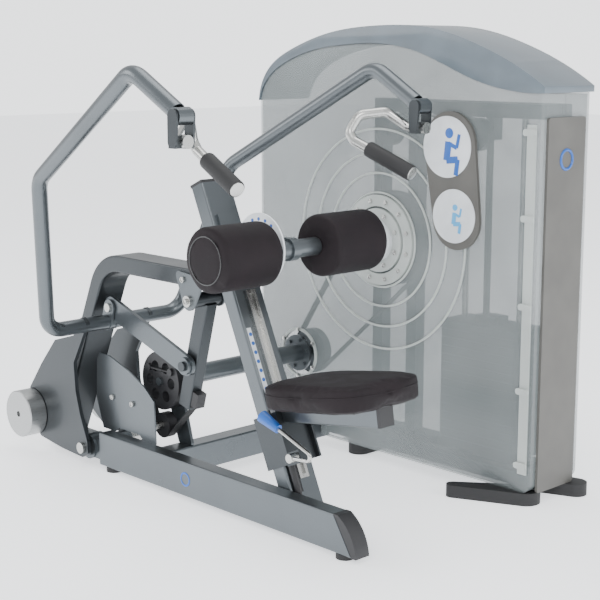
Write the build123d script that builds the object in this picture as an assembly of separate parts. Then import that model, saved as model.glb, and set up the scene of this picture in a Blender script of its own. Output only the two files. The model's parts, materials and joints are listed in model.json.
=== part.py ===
from build123d import *
import math
import os

# Selectorized lat pulldown machine, in millimetres.
# Working axes: +X runs along the base beam from the rear pivot towards the seat end,
# +Y runs from the user's station to the weight tower, +Z is up from the floor.
# Everything is moved at the end, so that the origin is the bottom centre of the whole machine.

# ---- Base frame ----
FLOOR_GAP = 15.0            # underside of the beams above the floor
BEAM_WIDTH = 50.0
BEAM_HEIGHT = 100.0
BEAM_REAR_X = -560.0
BEAM_FRONT_X = 433.0
BEAM_TOE = 64.0             # how far the slanted front end leans out at the floor
TUBE_WALL = 3.0
FOOT_RADIUS = 24.0
REAR_TUBE_HEIGHT = 30.0
REAR_TUBE_END_X = -905.0
REAR_TUBE_START_X = -480.0
CROSS_BEAM_X = -345.0
CROSS_BEAM_WIDTH = 60.0
CROSS_BEAM_HEIGHT = 80.0
CROSS_BEAM_REACH = 40.0     # how far the cross beam runs into the tower

# ---- Mast and gooseneck, one rectangular tube size ----
UPRIGHT_DEPTH = 50.0
UPRIGHT_WIDTH = 100.0
LEAN = 24.2                 # degrees, mast and gooseneck leg lean back by the same angle
MAST_FOOT_X = 246.0         # mast centre line at the underside of the beam
MAST_LENGTH = 953.0
LEG_FOOT_X = -861.0         # gooseneck leg centre line where it stands on the rear tube
GOOSENECK_Z = 626.0         # centre line of the gooseneck's top run
GOOSENECK_BEND = 125.0

# ---- Linkage pivots, (x, z) ----
YOKE_PIVOT = (-620.0, 60.0)
ROCKER_PIVOT = (-178.0, 562.0)
LINK_REAR = (-588.0, 485.0)
LINK_FRONT = (-232.0, 365.0)
BELT_END = (-265.0, 250.0)
CAM_AXIS = (-380.0, 290.0)
IDLER_AXIS = (-377.0, 159.0)
AXLE_RADIUS = 12.0
RUNNING_GAP = 0.05          # radial clearance of every pin in its bore
BOSS_RADIUS = 38.0

# ---- Yoke: one bent tube that carries both handles ----
ARM_RADIUS = 22.0
YOKE_RUN = (-600.0, 440.0)
YOKE_RUN_HALF = 243.0
LOWER_BEND = (-465.0, 340.0, 895.0)     # x, half width, z
APEX = (74.0, 417.0, 1197.0)
ARM_END = (234.0, 411.0, 1105.0)
YOKE_BENDS = (62.0, 80.0, 62.0)
CRANK_THICKNESS = 12.0
CRANK_GAP = 10.0            # near crank plate to the beam's face
CRANK_SPREAD = 60.0         # far crank plate beyond the uprights
DISC_RADIUS = 73.0
DISC_THICKNESS = 58.0
DISC_AXIS = (-879.0, 125.0)
EAR_THICKNESS = 6.0
EAR_RADIUS = 24.0

# ---- Link, rocker, cam and belts ----
LINK_THICKNESS = 12.0
LINK_HALF_HEIGHT = 32.0
OPEN_PIVOT_RADIUS = 21.0    # oversize hole at the link's rear end
RUN_SWEEP = 28.0            # degrees the yoke turns past the link, which is notched for its cross run
RUN_CLEARANCE = 13.0
PIN_RADIUS = 8.0
ROCKER_DEPTH = 50.0
ROCKER_WIDTH = 40.0
ROCKER_HUB_RADIUS = 21.0
CAM_RADIUS = 85.0
IDLER_RADIUS = 36.0
BELT_WIDTH = 28.0
BELT_THICKNESS = 3.0
BELT_GAP = 0.3
TRANSFER_RADIUS = 28.5
SPROCKET_RADIUS = 70.0

# ---- Weight tower ----
TOWER_NEAR_Y = 660.0
TOWER_FLOOR = 36.0          # underside of the shroud, carried on two splayed feet
TOWER_DEPTH = 214.0
TOWER_REAR_X = -560.0
TOWER_FRONT_X = 540.0
SHELL = 4.0
COVER_LIP = 12.0            # cover's overhang at the front
PANEL_THICKNESS = 8.0
PANEL_WIDTH = 166.0
PANEL_TOP = 1068.0
TOWER_TUBE = 40.0
CROWN_Z = 1060.0
HUB_AXIS = (-34.0, 689.0)
HUB_PULLEY_RADIUS = 140.0
DRUM_RADIUS = 90.0
CROWN_PULLEY_RADIUS = 45.0
CROWN_PULLEY_Z = 1008.0
STACK_X = 300.0
PLATE_SIZE = (280.0, 130.0, 24.0)
PLATE_PITCH = 25.0
LIFTED_PLATES = 7
RESTING_PLATES = 8
STACK_FOOT_Z = 96.0
STACK_OFFSET = 12.0         # stack's middle behind the tower's middle
GUIDE_SPREAD = 100.0
GUIDE_RADIUS = 10.0
HUB_RING_RADIUS = 135.0
PORT_RADIUS = 72.0

# ---- Thigh pads ----
PAD_PIVOT = (110.0, 740.0)
PAD_BAR_AXIS = (175.0, 739.0)
PAD_BAR_RADIUS = 24.0
PAD_RADIUS = 88.0
PAD_LENGTH = 195.0
PAD_INNER = 92.0            # from the middle of the machine to the inner end of each pad
INDEX_RADIUS = 92.0

# ---- Seat ----
SEAT_Z = 300.0              # height of the carriage's middle on the mast
SEAT_TILT = 9.0
SEAT_TUBE_LENGTH = 345.0
SEAT_TUBE_SIZE = 50.0
SEAT_PAD_LENGTH = 384.0
SEAT_PAD_WIDTH = 304.0
SEAT_PAD_START = 8.0        # rear end of the pad along its tube
SEAT_PAD_THICKNESS = 66.0
CARRIAGE_PLATE = 6.0
CARRIAGE_GAP = 1.0
CARRIAGE_HEIGHT = 150.0
LEVER_RADIUS = 5.5
LEVER_GRIP_RADIUS = 17.0
LEVER_GRIP_LENGTH = 66.0
LEVER_REACH = 92.0          # lever's hinge in front of the mast's centre line

# ---- Handles ----
HANGER_REACH = 18.0         # hanger's hinge beyond the arm's end
HANGER_DROP = 58.0
BARREL_RADIUS = 21.0
BARREL_HALF = 21.0
EAR_OUTER = 28.0            # outer face of the hanger's ears from the arm's middle
HANDLE_RADIUS = 13.5
GRIP_RADIUS = 24.0
GRIP_LENGTH = 150.0

# ---- Worked out from the sizes above ----
BEAM_TOP = FLOOR_GAP + BEAM_HEIGHT
MIDDLE_Y = BEAM_WIDTH + UPRIGHT_WIDTH / 2
UPRIGHT_FAR_Y = BEAM_WIDTH + UPRIGHT_WIDTH
TOWER_FAR_Y = TOWER_NEAR_Y + TOWER_DEPTH
TOWER_MIDDLE_Y = TOWER_NEAR_Y + TOWER_DEPTH / 2
STACK_Y = TOWER_MIDDLE_Y + STACK_OFFSET
LINK_Y = MIDDLE_Y - 26.0                # near face of the link bar
ROCKER_Y = MIDDLE_Y - 8.0               # near face of the rocker tube
BELT_Y = ROCKER_Y + 6.0                 # near face of the belt
POST_Y = ROCKER_Y + ROCKER_WIDTH + 2.0  # near face of the transfer bearing post
CRANK_FAR_Y = UPRIGHT_FAR_Y + CRANK_SPREAD
LEAN_SIN = math.sin(math.radians(LEAN))
LEAN_COS = math.cos(math.radians(LEAN))
MAST = Plane(
    origin=(MAST_FOOT_X, MIDDLE_Y, FLOOR_GAP),
    x_dir=(LEAN_COS, 0, LEAN_SIN),
    z_dir=(-LEAN_SIN, 0, LEAN_COS),
)
DRIVE_BELT_Y = TOWER_NEAR_Y + 44.0      # near face of the belt inside the tower
STRAP_Y = DRIVE_BELT_Y + BELT_WIDTH + 4.0
NODES = {}


def keep(name, *shapes):
    """Stores the solids of one node."""
    solids = [solid for shape in shapes for solid in shape.solids()]
    NODES[name] = Compound(solids)


def block(x, y, z):
    """Box from three (low, high) pairs."""
    size = [pair[1] - pair[0] for pair in (x, y, z)]
    middle = [(pair[1] + pair[0]) / 2 for pair in (x, y, z)]
    return Pos(*middle) * Box(*size)


def round_bar(start, end, radius, bore=0.0):
    """Cylinder from start to end, with a through bore if one is given."""
    axis = Vector(*end) - Vector(*start)
    plane = Plane(origin=start, z_dir=axis)
    bar = Solid.make_cylinder(radius, axis.length, plane)
    if bore:
        bar = bar - Solid.make_cylinder(bore, axis.length, plane)
    return bar


def cross_bar(centre, low, high, radius, bore=0.0):
    """Cylinder along Y about an (x, z) centre."""
    return round_bar((centre[0], low, centre[1]), (centre[0], high, centre[1]), radius, bore)


def plate(points, low, high, corner=0.0):
    """Flat plate in the XZ plane between two Y values, with rounded corners if asked."""
    corners = [(x, low, z) for x, z in points]
    if corner:
        outline = FilletPolyline(*corners, radius=corner, close=True)
    else:
        outline = Polyline(*corners, close=True)
    return extrude(make_face(outline), amount=high - low, dir=(0, 1, 0))


def hull_plate(circles, low, high):
    """Plate whose outline is the tightest loop round some (x, z, radius) circles."""
    edges = []
    for x, z, radius in circles:
        centre = Plane(origin=(x, -z, 0))
        edges.append(Edge.make_circle(radius, centre))
    face = make_hull(edges)
    upright = Pos(0, low, 0) * Rot(-90, 0, 0) * face
    return extrude(upright, amount=high - low, dir=(0, 1, 0))


def swept_tube(path, radius, bore=0.0):
    """Round tube along a path, solid if there is no bore."""
    plane = Plane(origin=path @ 0, z_dir=path % 0)
    tube = sweep(plane * Circle(radius), path=path)
    if bore:
        tube = tube - sweep(plane * Circle(bore), path=path)
    return tube


def bolt_head(centre, y, direction, radius=9.0, height=7.0):
    """Round bolt head standing on the plane y, on its near (-1) or far (+1) side."""
    end = y + direction * height
    head = cross_bar(centre, min(y, end), max(y, end), radius)
    edge = head.edges().filter_by(GeomType.CIRCLE).sort_by(Axis.Y)[0 if direction < 0 else -1]
    return fillet(edge, height * 0.4)


def along(start, end, distance):
    """Point on the line from start to end, (x, z) pairs, at a distance from start."""
    length = math.dist(start, end)
    share = distance / length
    return (start[0] + (end[0] - start[0]) * share, start[1] + (end[1] - start[1]) * share)


def belt_loop(first, second, low, high):
    """Closed belt round two (x, z, radius) pulleys, just clear of both."""
    inner = [(x, z, r + BELT_GAP) for x, z, r in (first, second)]
    outer = [(x, z, r + BELT_GAP + BELT_THICKNESS) for x, z, r in (first, second)]
    return hull_plate(outer, low, high) - hull_plate(inner, low, high)


# ---- Base frame ----
def base_beam():
    z = (FLOOR_GAP, BEAM_TOP)
    toe_x = BEAM_FRONT_X + BEAM_TOE
    outline = [(BEAM_REAR_X, z[0]), (toe_x, z[0]), (BEAM_FRONT_X, z[1]), (BEAM_REAR_X, z[1])]
    beam = plate(outline, 0, BEAM_WIDTH)
    long_edges = beam.edges().filter_by(Axis.X)
    beam = fillet(long_edges, 5.0)
    hollow = [
        (BEAM_REAR_X + TUBE_WALL, z[0] + TUBE_WALL),
        (toe_x + 10, z[0] + TUBE_WALL),
        (BEAM_FRONT_X + 10, z[1] - TUBE_WALL),
        (BEAM_REAR_X + TUBE_WALL, z[1] - TUBE_WALL),
    ]
    beam = beam - plate(hollow, TUBE_WALL, BEAM_WIDTH - TUBE_WALL)
    boss = cross_bar(YOKE_PIVOT, 0, BEAM_WIDTH, BOSS_RADIUS)
    neck = block((YOKE_PIVOT[0], BEAM_REAR_X), (4, BEAM_WIDTH - 4), (YOKE_PIVOT[1] - 30, YOKE_PIVOT[1] + 30))
    beam = beam + boss + neck
    keep("base_beam", beam - cross_bar(YOKE_PIVOT, -1, BEAM_WIDTH + 1, AXLE_RADIUS))


def cross_members():
    tube = block(
        (REAR_TUBE_END_X, REAR_TUBE_START_X),
        (BEAM_WIDTH, UPRIGHT_FAR_Y),
        (FLOOR_GAP, FLOOR_GAP + REAR_TUBE_HEIGHT),
    )
    tube = fillet(tube.edges().filter_by(Axis.Z), 12.0)
    top = FLOOR_GAP + REAR_TUBE_HEIGHT
    carrier = block(
        (YOKE_PIVOT[0] - 24, YOKE_PIVOT[0] + 24), (UPRIGHT_FAR_Y - 40, UPRIGHT_FAR_Y), (top, YOKE_PIVOT[1])
    )
    carrier = carrier + cross_bar(YOKE_PIVOT, UPRIGHT_FAR_Y - 40, UPRIGHT_FAR_Y, 24)
    carrier = carrier - cross_bar(YOKE_PIVOT, UPRIGHT_FAR_Y - 41, UPRIGHT_FAR_Y + 1, AXLE_RADIUS)
    carrier = carrier - tube
    x = (CROSS_BEAM_X, CROSS_BEAM_X + CROSS_BEAM_WIDTH)
    y = (BEAM_WIDTH, TOWER_NEAR_Y + CROSS_BEAM_REACH)
    z = (FLOOR_GAP + 10, FLOOR_GAP + 10 + CROSS_BEAM_HEIGHT)
    beam = fillet(block(x, y, z).edges().filter_by(Axis.Y), 5.0)
    beam = beam - block(
        (x[0] + TUBE_WALL, x[1] - TUBE_WALL), (y[0] + TUBE_WALL, y[1] - TUBE_WALL), (z[0] + TUBE_WALL, z[1] - TUBE_WALL)
    )
    keep("cross_members", tube + carrier, beam, transfer_post())


def frame_end_caps():
    toe = BEAM_FRONT_X + BEAM_TOE
    bulge = 16.0
    low = (toe, FLOOR_GAP)
    high = (BEAM_FRONT_X, BEAM_TOP)
    middle = ((low[0] + high[0]) / 2 + bulge * 1.3, (low[1] + high[1]) / 2 + bulge * 0.4)
    face = make_face(
        [
            Line((low[0], 1, low[1]), (high[0], 1, high[1])),
            Line((high[0], 1, high[1]), (high[0] + bulge, 1, high[1])),
            ThreePointArc((high[0] + bulge, 1, high[1]), (middle[0] + bulge * 0.55, 1, middle[1]), (low[0] + bulge, 1, low[1])),
            Line((low[0] + bulge, 1, low[1]), (low[0], 1, low[1])),
        ]
    )
    beam_cap = extrude(face, amount=BEAM_WIDTH - 2, dir=(0, 1, 0))
    mast_cap = MAST * (Pos(0, 0, MAST_LENGTH + 4) * Box(UPRIGHT_DEPTH, UPRIGHT_WIDTH, 8))
    keep("frame_end_caps", beam_cap, mast_cap)


def rubber_foot(x, y, radius=FOOT_RADIUS, top=FLOOR_GAP):
    return round_bar((x, y, 0), (x, y, top), radius)


def rubber_feet():
    beam_feet = [rubber_foot(BEAM_FRONT_X + 20, BEAM_WIDTH / 2), rubber_foot(-520, BEAM_WIDTH / 2)]
    rear = rubber_foot(REAR_TUBE_END_X + 40, MIDDLE_Y)
    splayed = (
        [(330, TOWER_NEAR_Y - 75, 20), (500, TOWER_NEAR_Y + 32, 44)],
        [(470, TOWER_FAR_Y - 50, 40), (556, TOWER_FAR_Y - 22, 34)],
        [(-150, TOWER_NEAR_Y + 40, 34), (-150, TOWER_FAR_Y - 40, 34)],
    )
    tower = []
    for (x_a, y_a, r_a), (x_b, y_b, r_b) in splayed:
        outline = make_hull([Edge.make_circle(r_a, Plane(origin=(x_a, y_a, 0))), Edge.make_circle(r_b, Plane(origin=(x_b, y_b, 0)))])
        tower.append(extrude(outline, amount=TOWER_FLOOR, dir=(0, 0, 1)))
    keep("rubber_feet", *beam_feet, rear, *tower)


def mast():
    outer = Box(UPRIGHT_DEPTH, UPRIGHT_WIDTH, MAST_LENGTH + 40, align=(Align.CENTER, Align.CENTER, Align.MIN))
    outer = fillet(outer.edges().filter_by(Axis.Z), 6.0)
    inner = Box(
        UPRIGHT_DEPTH - 2 * TUBE_WALL,
        UPRIGHT_WIDTH - 2 * TUBE_WALL,
        MAST_LENGTH + 40,
        align=(Align.CENTER, Align.CENTER, Align.MIN),
    )
    tube = MAST * (Pos(0, 0, -40) * (outer - inner))
    below = block((MAST_FOOT_X - 200, MAST_FOOT_X + 200), (0, 300), (-200, FLOOR_GAP))
    return tube - below


def leg_x(z):
    """Centre line of the gooseneck leg at a height."""
    return LEG_FOOT_X + (z - FLOOR_GAP - REAR_TUBE_HEIGHT) * LEAN_SIN / LEAN_COS


def mast_x(z):
    """Centre line of the mast at a height."""
    return MAST_FOOT_X - (z - FLOOR_GAP) * LEAN_SIN / LEAN_COS


def gooseneck():
    floor = FLOOR_GAP + REAR_TUBE_HEIGHT
    start = (leg_x(floor - 40), MIDDLE_Y, floor - 40)
    corner = (leg_x(GOOSENECK_Z), MIDDLE_Y, GOOSENECK_Z)
    end = (mast_x(GOOSENECK_Z), MIDDLE_Y, GOOSENECK_Z)
    path = FilletPolyline(start, corner, end, radius=GOOSENECK_BEND)
    plane = Plane(origin=path @ 0, x_dir=(0, 1, 0), z_dir=path % 0)
    outer = sweep(plane * RectangleRounded(UPRIGHT_WIDTH, UPRIGHT_DEPTH, 6.0), path=path)
    inner = sweep(
        plane * Rectangle(UPRIGHT_WIDTH - 2 * TUBE_WALL, UPRIGHT_DEPTH - 2 * TUBE_WALL), path=path
    )
    tube = outer - inner
    tube = tube - block((start[0] - 200, start[0] + 200), (0, 300), (-200, floor))
    solid_mast = MAST * Box(UPRIGHT_DEPTH, UPRIGHT_WIDTH, 3 * MAST_LENGTH)
    return tube - solid_mast


def uprights():
    keep("mast", mast())
    keep("gooseneck", gooseneck())


def belt_guard():
    low = BEAM_WIDTH - 5
    outline = [
        (-600, BEAM_TOP),
        (-632, 206),
        (-625, 327),
        (-612, 346),
        (-562, 344),
        (-468, 314),
        (-393, 279),
        (-347, 243),
        (-342, BEAM_TOP),
        (-400, BEAM_TOP),
        (-420, BEAM_TOP + 14),
        (-520, BEAM_TOP + 14),
        (-540, BEAM_TOP),
    ]
    guard = plate(outline, low, BEAM_WIDTH)
    keep("belt_guard", guard)


def kite_brackets():
    circles = [
        (ROCKER_PIVOT[0], ROCKER_PIVOT[1], 27.0),
        (ROCKER_PIVOT[0] - 42, GOOSENECK_Z + 4, 12.0),
        (ROCKER_PIVOT[0] + 48, GOOSENECK_Z - 6, 14.0),
    ]
    near = hull_plate(circles, BEAM_WIDTH - 6, BEAM_WIDTH)
    far = hull_plate(circles, UPRIGHT_FAR_Y, UPRIGHT_FAR_Y + 6)
    hole = cross_bar(ROCKER_PIVOT, 0, 300, AXLE_RADIUS)
    keep("kite_brackets", near - hole, far - hole)


def stepped_axle(centre, low, high, collar):
    """Axle between two Y values with a head outside each end."""
    shaft = cross_bar(centre, low, high, AXLE_RADIUS)
    near = cross_bar(centre, low - 8, low, collar)
    far = cross_bar(centre, high, high + 8, collar)
    return shaft + near + far


def frame_axles():
    rocker = stepped_axle(ROCKER_PIVOT, BEAM_WIDTH - 6, UPRIGHT_FAR_Y + 6, 16.0)
    yoke = stepped_axle(YOKE_PIVOT, -CRANK_GAP - CRANK_THICKNESS - 0.5, CRANK_FAR_Y + CRANK_THICKNESS + 0.5, 17.0)
    spacer = cross_bar(YOKE_PIVOT, UPRIGHT_FAR_Y, CRANK_FAR_Y - 0.5, 18.0)
    idler = cross_bar(IDLER_AXIS, BEAM_WIDTH, BELT_Y + BELT_WIDTH + 2, 10.0)
    keep("frame_axles", rocker, yoke + spacer, idler)


# ---- Mast fittings ----
def mast_block(x, y, z):
    """Box in the mast's own axes: forward, across, along."""
    return MAST * block(x, y, z)


def mast_fittings():
    front = UPRIGHT_DEPTH / 2
    rail = mast_block((front, front + 12), (-16, 16), (120, 640))
    slot = mast_block((front + 5, front + 12), (-7, 7), (130, 630))
    keep("seat_rail", rail - slot)
    keep("height_scale", mast_block((front, front + 1.5), (-42, -28), (255, 540)))


def index_and_bracket():
    arm_low = MIDDLE_Y - 13
    arm_high = MIDDLE_Y + 13
    plates = []
    foot_z = PAD_PIVOT[1] - 22
    for low in (arm_low - 8.5, arm_high + 2.5):
        circles = [
            (PAD_PIVOT[0], PAD_PIVOT[1], 24.0),
            (mast_x(foot_z) + 34, foot_z + 40, 10.0),
            (mast_x(foot_z) + 48, foot_z - 20, 10.0),
        ]
        plates.append(hull_plate(circles, low, low + 6))
    solid_mast = MAST * Box(UPRIGHT_DEPTH, UPRIGHT_WIDTH, 3 * MAST_LENGTH)
    hole = cross_bar(PAD_PIVOT, 0, 300, AXLE_RADIUS)
    foot = mast_block(
        (UPRIGHT_DEPTH / 2, UPRIGHT_DEPTH / 2 + 8), (-33, 33), (MAST_LENGTH - 215, MAST_LENGTH - 95)
    )
    plates = [each - solid_mast - hole - foot for each in plates]
    shaft = cross_bar(PAD_PIVOT, BEAM_WIDTH - 4, arm_high + 18, AXLE_RADIUS)
    nut = cross_bar(PAD_PIVOT, arm_high + 8.5, arm_high + 18, 18.0, AXLE_RADIUS)
    keep("pad_bracket", foot, *plates, shaft, nut)
    ring = cross_bar(PAD_PIVOT, BEAM_WIDTH + 2, BEAM_WIDTH + 7, INDEX_RADIUS, AXLE_RADIUS + RUNNING_GAP)
    keep("index_disc", ring - cross_bar(PAD_BAR_AXIS, 0, 100, PAD_BAR_RADIUS))


# ---- Drive: belt, cam and transfer shaft ----
def transfer_post():
    outline = [
        (CROSS_BEAM_X, FLOOR_GAP + 10 + CROSS_BEAM_HEIGHT),
        (CROSS_BEAM_X + CROSS_BEAM_WIDTH, FLOOR_GAP + 10 + CROSS_BEAM_HEIGHT),
        (CAM_AXIS[0] + 38, CAM_AXIS[1] + 20),
        (CAM_AXIS[0], CAM_AXIS[1] + 46),
        (CAM_AXIS[0] - 38, CAM_AXIS[1] + 10),
    ]
    post = plate(outline, POST_Y, POST_Y + 10, corner=6.0)
    housing = cross_bar(CAM_AXIS, POST_Y, POST_Y + 22, 34.0)
    return post + housing - cross_bar(CAM_AXIS, 0, 400, AXLE_RADIUS + RUNNING_GAP)


def belt_tangent():
    """Where the strap from the rocker meets the idler's underside, and the strap's direction."""
    start = (BELT_END[0] + 26, BELT_END[1] - 8)
    reach = IDLER_RADIUS + BELT_GAP
    dx = IDLER_AXIS[0] - start[0]
    dz = IDLER_AXIS[1] - start[1]
    distance = math.hypot(dx, dz)
    turn = math.asin(reach / distance)
    heading = math.atan2(dz, dx) + turn
    length = math.sqrt(distance**2 - reach**2)
    end = (start[0] + length * math.cos(heading), start[1] + length * math.sin(heading))
    return start, end, heading


def drive_belts():
    cam = (CAM_AXIS[0], CAM_AXIS[1], CAM_RADIUS)
    idler = (IDLER_AXIS[0], IDLER_AXIS[1], IDLER_RADIUS)
    loop = belt_loop(cam, idler, BELT_Y, BELT_Y + BELT_WIDTH)
    start, end, heading = belt_tangent()
    away = 400.0
    cut = plate(
        [
            (end[0], end[1] - away),
            (end[0] + away, end[1] - away),
            (CAM_AXIS[0] + away, CAM_AXIS[1] + away),
            (CAM_AXIS[0], CAM_AXIS[1] + away),
            (CAM_AXIS[0], CAM_AXIS[1]),
            (end[0], IDLER_AXIS[1]),
        ],
        0,
        300,
    )
    keep("drive_belt", loop - cut)
    normal = (-math.sin(heading), math.cos(heading))
    depth = BELT_THICKNESS
    corners = [
        start,
        end,
        (end[0] + normal[0] * depth, end[1] + normal[1] * depth),
        (start[0] + normal[0] * depth, start[1] + normal[1] * depth),
    ]
    return plate(corners, BELT_Y, BELT_Y + BELT_WIDTH)


def spoked_wheel(centre, low, high, radius, bore, rim=14.0, hub=26.0, holes=5):
    """Wheel with a ring of lightening holes."""
    wheel = cross_bar(centre, low, high, radius, bore)
    middle = (radius - rim + hub) / 2
    hole = (radius - rim - hub) / 2 * 0.8
    if hole > 4:
        for index in range(holes):
            angle = 2 * math.pi * index / holes
            spot = (centre[0] + middle * math.cos(angle), centre[1] + middle * math.sin(angle))
            wheel = wheel - cross_bar(spot, low - 1, high + 1, hole)
    return wheel


def transfer_parts():
    cam_low = BELT_Y - 1
    cam_high = BELT_Y + BELT_WIDTH + 1
    shaft_end = DRIVE_BELT_Y + BELT_WIDTH + 6
    shaft = cross_bar(CAM_AXIS, cam_low - 8, POST_Y + 30, AXLE_RADIUS)
    tube = cross_bar(CAM_AXIS, POST_Y + 24, TOWER_NEAR_Y - 14, TRANSFER_RADIUS, TRANSFER_RADIUS - 4)
    plug = cross_bar(CAM_AXIS, POST_Y + 24, POST_Y + 32, TRANSFER_RADIUS - 4)
    end_plug = cross_bar(CAM_AXIS, TOWER_NEAR_Y - 22, TOWER_NEAR_Y - 14, TRANSFER_RADIUS - 4)
    flange = cross_bar(CAM_AXIS, TOWER_NEAR_Y - 14, TOWER_NEAR_Y - 4, PORT_RADIUS - 14)
    stub = cross_bar(CAM_AXIS, TOWER_NEAR_Y - 22, shaft_end, AXLE_RADIUS + 6)
    bolts = []
    for index in range(6):
        angle = math.radians(60 * index + 15)
        spot = (CAM_AXIS[0] + 45 * math.cos(angle), CAM_AXIS[1] + 45 * math.sin(angle))
        bolts.append(cross_bar(spot, TOWER_NEAR_Y - 20, TOWER_NEAR_Y - 14, 6.0))
    whole = shaft + tube + plug + end_plug + flange + stub
    for bolt in bolts:
        whole = whole + bolt
    sprocket = cross_bar(CAM_AXIS, DRIVE_BELT_Y - 1, DRIVE_BELT_Y + BELT_WIDTH + 1, SPROCKET_RADIUS)
    keep("transfer_tube", whole + sprocket)
    cam = spoked_wheel(CAM_AXIS, cam_low, cam_high, CAM_RADIUS, AXLE_RADIUS, rim=16, hub=28, holes=6)
    keep("belt_cam", cam)
    keep("cam_adjuster", *cam_adjuster(cam_low))


def cam_adjuster(face_y):
    """Turnbuckle on the cam's near face that sets the belt's tension."""
    low = face_y - 8
    pieces = []
    for angle in (35, 145):
        spot = (
            CAM_AXIS[0] + 62 * math.cos(math.radians(angle)),
            CAM_AXIS[1] + 62 * math.sin(math.radians(angle)),
        )
        pieces.append(cross_bar(spot, low, face_y, 11.0))
    left = CAM_AXIS[0] + 62 * math.cos(math.radians(145)) + 11
    right = CAM_AXIS[0] + 62 * math.cos(math.radians(35)) - 11
    height = CAM_AXIS[1] + 62 * math.sin(math.radians(35))
    screw = round_bar((left - 4, low + 4, height), (right + 4, low + 4, height), 3.0)
    sleeve = round_bar((left + 25, low + 4, height), (right - 25, low + 4, height), 3.9)
    return [pieces[0] + pieces[1] + screw + sleeve]


def idler_pulley():
    wheel = cross_bar(
        IDLER_AXIS, BELT_Y - 1, BELT_Y + BELT_WIDTH + 1, IDLER_RADIUS, 10.0 + RUNNING_GAP
    )
    keep("idler_pulley", wheel)


# ---- Yoke ----
def yoke_tube():
    points = []
    bends = []
    sides = ((-1, 1), (1, -1))
    for side, order in sides:
        chain = [
            (ARM_END[0], MIDDLE_Y + side * ARM_END[1], ARM_END[2]),
            (APEX[0], MIDDLE_Y + side * APEX[1], APEX[2]),
            (LOWER_BEND[0], MIDDLE_Y + side * LOWER_BEND[1], LOWER_BEND[2]),
            (YOKE_RUN[0], MIDDLE_Y + side * YOKE_RUN_HALF, YOKE_RUN[1]),
        ]
        points += chain[::order]
    bends = list(YOKE_BENDS) + list(YOKE_BENDS)[::-1]
    bends = [YOKE_BENDS[2], YOKE_BENDS[1], YOKE_BENDS[0], YOKE_BENDS[0], YOKE_BENDS[1], YOKE_BENDS[2]]
    path = FilletPolyline(*points, radius=bends)
    tube = swept_tube(path, ARM_RADIUS, ARM_RADIUS - TUBE_WALL)
    ears = []
    for low in (LINK_Y - 2 - EAR_THICKNESS, LINK_Y + LINK_THICKNESS + 2):
        circles = [(*YOKE_RUN, EAR_RADIUS), (*LINK_REAR, EAR_RADIUS)]
        ear = hull_plate(circles, low, low + EAR_THICKNESS)
        ear = ear - cross_bar(YOKE_RUN, low - 1, low + EAR_THICKNESS + 1, ARM_RADIUS)
        ears.append(ear - cross_bar(LINK_REAR, low - 1, low + EAR_THICKNESS + 1, PIN_RADIUS))
    whole = tube
    for ear in ears:
        whole = whole + ear
    pivot, far_y = hanger_hinge()
    bore = PIN_RADIUS + RUNNING_GAP
    for y in (far_y, 2 * MIDDLE_Y - far_y):
        barrel = cross_bar(pivot, y - BARREL_HALF, y + BARREL_HALF, BARREL_RADIUS)
        whole = whole + barrel - cross_bar(pivot, y - BARREL_HALF - 1, y + BARREL_HALF + 1, bore)
    keep("yoke_tube", whole)


def crank_outline():
    return [
        (-749, 374),
        (-646, 404),
        (-628, 452),
        (-600, 466),
        (-574, 450),
        (-606, 396),
        (-652, 318),
        (-646, 232),
        (-626, 162),
        (-592, 84),
        (-590, 46),
        (-619, 30),
        (-729, 36),
        (-843, 50),
        (-905, 92),
        (-912, 150),
        (-898, 201),
        (-828, 288),
    ]


def crank_plate(low):
    high = low + CRANK_THICKNESS
    body = plate(crank_outline(), low, high, corner=8.0)
    body = body - cross_bar(YOKE_PIVOT, low - 1, high + 1, AXLE_RADIUS + RUNNING_GAP)
    return body - cross_bar(YOKE_RUN, low - 1, high + 1, ARM_RADIUS)


def yoke_parts():
    yoke_tube()
    near = -CRANK_GAP - CRANK_THICKNESS
    keep("crank_plate_near", crank_plate(near))
    keep("crank_plate_far", crank_plate(CRANK_FAR_Y))
    discs = []
    for low, high in ((near - DISC_THICKNESS, near), (CRANK_FAR_Y + CRANK_THICKNESS, CRANK_FAR_Y + CRANK_THICKNESS + DISC_THICKNESS)):
        disc = cross_bar(DISC_AXIS, low, high, DISC_RADIUS)
        disc = chamfer(disc.edges().filter_by(GeomType.CIRCLE), 2.5)
        discs.append(disc - cross_bar(DISC_AXIS, low - 1, high + 1, 9.0))
    keep("counterweights", *discs)
    link_pin = cross_bar(LINK_REAR, LINK_Y - 2 - EAR_THICKNESS, LINK_Y + LINK_THICKNESS + 2 + EAR_THICKNESS, PIN_RADIUS)
    heads = [
        cross_bar(LINK_REAR, LINK_Y - 9 - EAR_THICKNESS, LINK_Y - 2 - EAR_THICKNESS, 13.0),
        cross_bar(LINK_REAR, LINK_Y + LINK_THICKNESS + 2 + EAR_THICKNESS, LINK_Y + LINK_THICKNESS + 9 + EAR_THICKNESS, 13.0),
    ]
    disc_bolts = [
        cross_bar(DISC_AXIS, near - DISC_THICKNESS + 12, near, 9.0),
        cross_bar(DISC_AXIS, CRANK_FAR_Y + CRANK_THICKNESS, CRANK_FAR_Y + CRANK_THICKNESS + DISC_THICKNESS - 12, 9.0),
    ]
    keep("yoke_bolts", link_pin + heads[0] + heads[1], *disc_bolts)


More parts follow.
